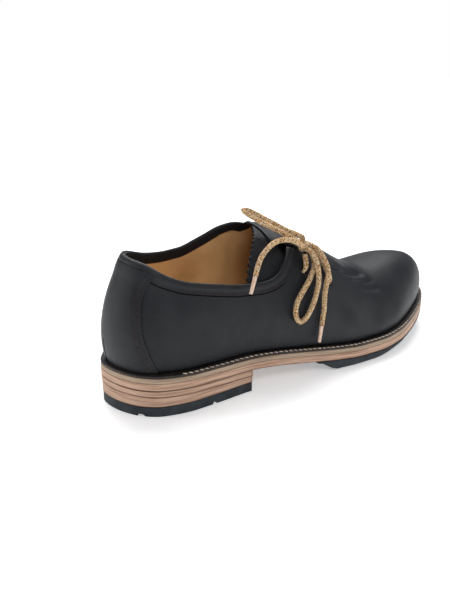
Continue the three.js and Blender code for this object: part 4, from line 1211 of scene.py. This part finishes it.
midsole = plate_object(
    "midsole_leather", whole_sole, flush, midsole_top, lambda x: midsole_under(x) - 0.0002,
    cut_edge("midsole_grey_tan", GREY_TAN, GREY_TAN_DARK, (0.0001, 0.0005, PINK_TAN_DARK)), bulge=0.0001,
)
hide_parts("midsole")
sole_finish = cut_edge("stacked_leather", PINK_TAN, PINK_TAN_DARK, (0.0001, 0.0012, SCORCHED))
outsole = plate_object(
    "outsole_leather", whole_sole, flush, outsole_top, outsole_under, sole_finish, bulge=0.0001
)
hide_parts("outsole")


def lift_top(x):
    return outsole_under(x) - GLUE_LINE


def lift_under(x):
    return lift_top(x) - LIFT_THICKNESS


lift_upper = plate_object("heel_lift_upper_leather", heel_part, flush, lift_top, lift_under, sole_finish)
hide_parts("heel_lift_upper")
lift_lower = plate_object(
    "heel_lift_lower_leather", heel_part, lambda s: 0 * s + HEEL_TAPER / 2,
    lambda x: lift_under(x) - GLUE_LINE, lambda x: 0 * x + TOP_PIECE_THICKNESS + GLUE_LINE, sole_finish,
)
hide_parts("heel_lift_lower")


sock = plate_object(
    "insole_sock", whole_sole, lambda s: LEDGE * ledge_share(s) + WALL + 2 * GLUE_LINE,
    lambda x: upper_under(x) + INSOLE_THICKNESS, upper_under, tan_leather("sock_tan", 0.65),
)
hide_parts("insole")

# The rubber. A thin half sole is glued under the forefoot and a top piece under the heel, both of
# bluish black rubber, the heel's with two grooves that show at its edge.
TREAD_START = 0.487
BEVEL = (0.008, 0.0024)
GROOVE_PLACES = (0.13, 0.66)  # shares of the heel's length
GROOVE_DEPTH = 0.0015
GROOVE_WIDTH = 0.003


def black_rubber(name):
    made, tree, shader = new_finish(name, Roughness=0.72, Specular_IOR_Level=0.3)
    place = put(tree, "TexCoord").outputs["Object"]
    tones = (0.017, 0.022, 0.028), (0.034, 0.04, 0.047)
    mottle = clouded(tree, shader, place, (120, 5), (0.35, 0.7), *tones)
    pebbles = put(tree, "TexVoronoi", {"Vector": place, "Scale": 450})
    height = put(tree, "Math", {0: pebbles.outputs["Distance"], 1: mottle}, operation="ADD")
    add_bump(tree, shader, height.outputs[0], 0.0001)
    return made


rubber = black_rubber("black_rubber")
half_sole = plate_object(
    "half_sole_rubber", stations_between(TREAD_START * SOLE_LENGTH, SOLE_LENGTH, 180), flush,
    lambda x: outsole_under(x) - GLUE_LINE, lambda x: TREAD_THICKNESS * tread(x / SOLE_LENGTH), rubber,
    bevel=BEVEL,
)
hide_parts("half_sole")


def top_piece_under(x):
    in_groove = 0 * x
    for share in GROOVE_PLACES:
        in_groove = np.maximum(in_groove, np.abs(x - HEEL_LENGTH * share) < GROOVE_WIDTH / 2)
    return GROOVE_DEPTH * in_groove


top_piece = plate_object(
    "heel_top_piece_rubber", stations_between(0, HEEL_LENGTH, 300), lambda s: 0 * s + HEEL_TAPER,
    lambda x: 0 * x + TOP_PIECE_THICKNESS, top_piece_under, rubber,
)
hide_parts("heel_top_piece")

# The lace. A round braided cord of golden brown cotton with light and dark flecks runs through the
# four eyelets and is tied over the slit in a bow, whose ends are bound with clear film.
LACE_RADIUS = LACE_DIAMETER / 2
LACE_SIDES = 14
JOIN_GAP = 0.0003
TIP_RADIUS = 0.0016
TIP_LENGTH = 0.012
KNOT_RADII = (0.005, 0.0042, 0.0038)
KNOT_PLACE = (CORNER + 0.0084, -0.424, 0.0056)
OVER = LACE_RADIUS + LACE_CLEARANCE
UNDER = -(WALL + LACE_RADIUS + LACE_CLEARANCE)


def off_form(place, distance):
    x, lean = place
    return form_point(x, np.array(lean)) + form_normal(x, np.array(lean)) * distance


knot_centre = off_form(KNOT_PLACE[:2], KNOT_PLACE[2])
# Routes of the bow from the knot's centre, in millimetres, as the cord was laid by hand
BOW = {
    "lace_loop_upper": [
        (-0.7, 1.6, 5.8), (-4.6, 3.2, 7.9), (-10.4, 7, 10.7), (-16.8, 11.2, 14.8), (-23.3, 14.4, 18.8),
        (-29.6, 16.4, 22.7), (-36.6, 16.8, 26.4), (-42.4, 14.4, 27.4), (-41.7, 11, 25.2),
        (-37.3, 9, 22.4), (-31.5, 6.9, 18.7), (-24.8, 4.4, 14.9), (-18.9, 2.1, 11.5),
        (-12.5, 0.4, 7.6), (-6.6, -0.3, 4.1),
    ],
    "lace_loop_lower": [
        (-0.3, -4.8, -2.2), (0.5, -9, -4.4), (1.2, -12.5, -9.3), (1.2, -15, -16), (0.6, -16.2, -22.7),
        (-2, -17.5, -29.9), (-5.2, -18.4, -36.4), (-9, -18.6, -42.9), (-12.6, -18.2, -47.1),
        (-16.2, -18.1, -48.3), (-19.2, -17.6, -45.2), (-20.1, -17.2, -39.6), (-18, -16.6, -33.7),
        (-13.2, -15.9, -27.6), (-8.2, -14.7, -23), (-3.1, -12.2, -18.8), (2, -9, -14.7),
        (4.8, -5.6, -10.2), (5, -3, -6.4),
    ],
    "lace_end_rear": [
        (-5.4, -4.4, 0.8), (-9.6, -5, 3.8), (-15.2, -5.4, 6.6), (-23.2, -5, 8), (-30.7, -5.2, 6.9),
        (-37.3, -6, 3.4), (-42.8, -7.6, -0.7), (-47.2, -9.8, -6), (-50, -11.2, -11.2),
    ],
    "lace_end_front": [
        (5.6, -2, -0.6), (8.2, -5.6, -3), (9.4, -9.4, -7.2), (11, -11.8, -12.5), (10.9, -14.4, -17.7),
        (8.5, -16.1, -23.4), (6.4, -17.1, -29.4), (4.6, -18.6, -36), (3.4, -19.9, -42.7),
        (2.3, -20.2, -48.4), (1.4, -20.4, -53.6),
    ],
}


def smooth_route(points, step=0.0006):
    """Close points of a smooth curve through some points."""
    points = np.asarray(points, float)
    ends = np.concatenate([[2 * points[0] - points[1]], points, [2 * points[-1] - points[-2]]])
    out = []
    for p0, p1, p2, p3 in zip(ends, ends[1:], ends[2:], ends[3:]):
        d0, d1, d2 = (math.sqrt(np.linalg.norm(b - a)) for a, b in ((p0, p1), (p1, p2), (p2, p3)))
        m1 = ((p1 - p0) / d0 - (p2 - p0) / (d0 + d1) + (p2 - p1) / d1) * d1
        m2 = ((p2 - p1) / d1 - (p3 - p1) / (d1 + d2) + (p3 - p2) / d2) * d1
        count = max(2, round(np.linalg.norm(p2 - p1) / step))
        t = np.linspace(0, 1, count, endpoint=False)[:, None]
        out.append(p1 + m1 * t + (3 * (p2 - p1) - 2 * m1 - m2) * t**2 + (2 * (p1 - p2) + m1 + m2) * t**3)
    return np.concatenate(out + [points[-1:]])


def lace_tube(route, radius, shape=1.0):
    """Points, faces, way along and way round of a round cord. Shape narrows it along its length."""
    ways = np.gradient(route, axis=0)
    ways /= np.linalg.norm(ways, axis=1, keepdims=True)
    across = np.cross(ways[0], (0.3, 0.2, 1.0))
    frames = []
    for way in ways:
        across = across - way * (across @ way)
        across = across / np.linalg.norm(across)
        frames.append((across, np.cross(way, across)))
    sizes = run_along(route)
    turns = np.linspace(0, 1, LACE_SIDES + 1)
    radii = np.full(len(route), radius) * shape
    grid = np.array([
        [p + r * (math.cos(2 * math.pi * t) * a + math.sin(2 * math.pi * t) * b) for t in turns]
        for p, r, (a, b) in zip(route, radii, frames)
    ])
    numbers = grid_numbers(grid)
    faces = [list(f) for f in grid_faces(numbers, True)]
    faces.append([int(i) for i in numbers[0][:-1]])
    faces.append([int(i) for i in numbers[-1][:-1][::-1]])
    return grid.reshape(-1, 3), faces, np.repeat(sizes, LACE_SIDES + 1), np.tile(turns, len(route))


def lace_object(name, tubes, finish):
    """One piece from one or more lengths of cord, which carries the ways along and round for its braid."""
    counts = np.cumsum([0] + [len(tube[0]) for tube in tubes])
    faces = [[i + int(count) for i in face] for tube, count in zip(tubes, counts) for face in tube[1]]
    made = mesh_object(name, np.concatenate([tube[0] for tube in tubes]), faces, finish)
    for key, place in (("along", 2), ("around", 3)):
        add_attribute(made, key, np.concatenate([tube[place] for tube in tubes]))
    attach(made, "root")
    return made


BRAID_STRANDS = 14
BRAID_RISE = 1000.0
BRAID_RADIUS = 0.93 * LACE_RADIUS


def braided_cotton(name):
    """Two sets of strands cross round the cord; each crossing has a tone of its own, and the furrows between the
    strands are darkened with painted shade.
    """
    made, tree, shader = new_finish(name, Roughness=0.85, Specular_IOR_Level=0.2)
    along = put(tree, "Attribute", attribute_name="along").outputs["Fac"]
    around = put(tree, "Attribute", attribute_name="around").outputs["Fac"]
    rise = put(tree, "Math", {0: along, 1: BRAID_RISE}, operation="MULTIPLY").outputs[0]
    turn = put(tree, "Math", {0: around, 1: float(BRAID_STRANDS)}, operation="MULTIPLY").outputs[0]
    ways = [put(tree, "Math", {0: turn, 1: rise}, operation=kind).outputs[0] for kind in ("ADD", "SUBTRACT")]
    waves = []
    cells = []
    for way in ways:
        angle = put(tree, "Math", {0: way, 1: math.pi}, operation="MULTIPLY").outputs[0]
        sine = put(tree, "Math", {0: angle}, operation="SINE").outputs[0]
        waves.append(put(tree, "Math", {0: sine}, operation="ABSOLUTE").outputs[0])
        cells.append(put(tree, "Math", {0: way}, operation="FLOOR").outputs[0])
    height = put(tree, "Math", {0: waves[0], 1: waves[1]}, operation="MULTIPLY").outputs[0]
    cell = put(tree, "CombineXYZ", {"X": cells[0], "Y": cells[1]})
    lot = put(tree, "TexWhiteNoise", {"Vector": cell.outputs[0]}, noise_dimensions="3D").outputs["Value"]
    light = ramp_between(tree, lot, 0.58, 0.6)
    dark = ramp_between(tree, lot, 0.2, 0.22)
    colour = blend_colours(tree, light, (0.95, 0.57, 0.26), (1.0, 0.86, 0.6))
    colour = blend_colours(tree, dark, (0.24, 0.105, 0.035), colour)
    # Painted shade: the furrows between the strands are coloured a darker brown
    painted_furrow_shade = ramp_between(tree, height, 0.0, 0.4)
    colour = blend_colours(tree, painted_furrow_shade, (0.4, 0.21, 0.085), colour)
    tree.links.new(colour, shader.inputs["Base Color"])
    add_bump(tree, shader, height, 0.0004)
    return made


def bound_tip(name):
    """The braid shows faintly through the clear film round the lace's ends."""
    made, tree, shader = new_finish(name, Roughness=0.3, Coat_Weight=0.6, Coat_Roughness=0.2)
    place = put(tree, "TexCoord").outputs["Object"]
    clouded(tree, shader, place, (500, 2), (0.4, 0.65), (0.74, 0.54, 0.42), (0.62, 0.4, 0.27))
    return made


braid = braided_cotton("braided_cotton")
film = bound_tip("bound_film")
routes = {name: smooth_route(knot_centre + np.array(points) / 1000) for name, points in BOW.items()}
# How much the cord narrows where it turns back
SHARP_BEND = 0.24
SOFT_BEND = 0.06
for name, route in routes.items():
    if "end" not in name:
        continue
    way = route[-1] - route[-2]
    way /= np.linalg.norm(way)
    start = route[-1] + way * JOIN_GAP
    tip_route = start + way * np.linspace(0, TIP_LENGTH, 24)[:, None]
    tip_share = np.linspace(0, 1, 24)
    tube = lace_tube(tip_route, TIP_RADIUS, shape=0.92 - 0.16 * tip_share + 0.02 * np.sin(40 * tip_share))
    tip = lace_object(name.replace("end", "tip") + "_film", [tube], film)
    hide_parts(name.replace("end", "tip"))
for name, route in routes.items():
    from_knot = np.linalg.norm(route - knot_centre, axis=1)
    pinch = SHARP_BEND if name == "lace_loop_upper" else SOFT_BEND
    pinched = 1 - pinch * bell(from_knot.max() - from_knot, 0, 0.01)
    piece = lace_object(name + "_braid", [lace_tube(route, BRAID_RADIUS, shape=pinched)], braid)
    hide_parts(name)


def through_eyelet(place, outside_towards, inside_towards):
    """The lace where it dips through an eyelet."""
    outer = off_form(place, OVER)
    inner = off_form(place, UNDER)
    slack = LACE_DIAMETER * 0.35
    outside_way = (outside_towards - outer) / np.linalg.norm(outside_towards - outer)
    inside_way = (inside_towards - inner) / np.linalg.norm(inside_towards - inner)
    return [
        outer + 2.8 * slack * outside_way,
        off_form(place, OVER * 0.6) + 1.1 * slack * outside_way,
        off_form(place, -WALL * 0.4),
        off_form(place, UNDER * 0.75) + 0.3 * slack * inside_way,
        inner + 1.2 * slack * inside_way,
    ]


def between(first, second, share, distance):
    (x0, lean0), (x1, lean1) = first, second
    return off_form((x0 + (x1 - x0) * share, lean0 + (lean1 - lean0) * share), distance)


def to_knot(place):
    start = off_form(place, OVER)
    way = knot_centre - start
    size = np.linalg.norm(way)
    return start + way / size * (size - KNOT_RADII[0] - LACE_RADIUS - JOIN_GAP)


rear_out, front_out = EYELETS["lateral_rear"], EYELETS["lateral_front"]
front_in, rear_in = EYELETS["medial_front"], EYELETS["medial_rear"]
over = [between(front_out, front_in, share, OVER) for share in (0.3, 0.5, 0.7)]
outer_run = [between(rear_out, front_out, share, UNDER) for share in (0.3, 0.5, 0.7)]
inner_run = [between(front_in, rear_in, share, UNDER) for share in (0.3, 0.5, 0.7)]
crossing_route = smooth_route([
    to_knot(rear_out), *through_eyelet(rear_out, to_knot(rear_out), outer_run[0]), *outer_run,
    *through_eyelet(front_out, over[0], outer_run[2])[::-1], *over,
    *through_eyelet(front_in, over[2], inner_run[0]), *inner_run,
    *through_eyelet(rear_in, to_knot(rear_in), inner_run[2])[::-1], to_knot(rear_in),
])
eyelet_points = np.array([form_point(x, np.array(lean)) for x, lean in EYELETS.values()])
squeezed = 1 - 0.28 * bell(distance_to(crossing_route, eyelet_points), 0, 0.0035)
crossing_tube = lace_tube(crossing_route, BRAID_RADIUS, shape=squeezed)
crossing = lace_object("lace_crossing_braid", [crossing_tube], braid)
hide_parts("lace_crossing")

# The knot is a wrap of the same cord round the roots of the bow's loops and ends
WRAP_RADIUS = 0.0027
WRAP_TURNS = 1.7
WRAP_RISE = 0.0036
bow_axis = routes["lace_loop_upper"][0] - routes["lace_loop_lower"][0]
bow_axis /= np.linalg.norm(bow_axis)
knot_front = form_normal(KNOT_PLACE[0], np.array(KNOT_PLACE[1]))
knot_front = knot_front - bow_axis * (knot_front @ bow_axis)
knot_front /= np.linalg.norm(knot_front)
knot_side = np.cross(bow_axis, knot_front)
turn = np.linspace(-WRAP_TURNS / 2, WRAP_TURNS / 2, 90)[:, None] * 2 * math.pi
wrap = (
    knot_centre + bow_axis * WRAP_RISE * turn / (2 * math.pi)
    + WRAP_RADIUS * (np.cos(turn) * knot_front + np.sin(turn) * knot_side)
)
knot_tubes = [lace_tube(wrap, BRAID_RADIUS)]
roots = [(name, 0) for name in BOW] + [("lace_loop_upper", -1), ("lace_loop_lower", -1)]
for name, end in roots:
    start, further = (routes[name][0], routes[name][3]) if end == 0 else (routes[name][-1], routes[name][-4])
    way = (start - further) / np.linalg.norm(start - further)
    reach = np.linalg.norm(start - knot_centre)
    inside = knot_centre + 0.25 * (start - knot_centre)
    root = smooth_route([further, start, start + way * 0.08 * reach, inside])
    knot_tubes.append(lace_tube(root, 0.97 * BRAID_RADIUS))
knot = lace_object("lace_knot_braid", knot_tubes, braid)
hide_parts("lace_knot")
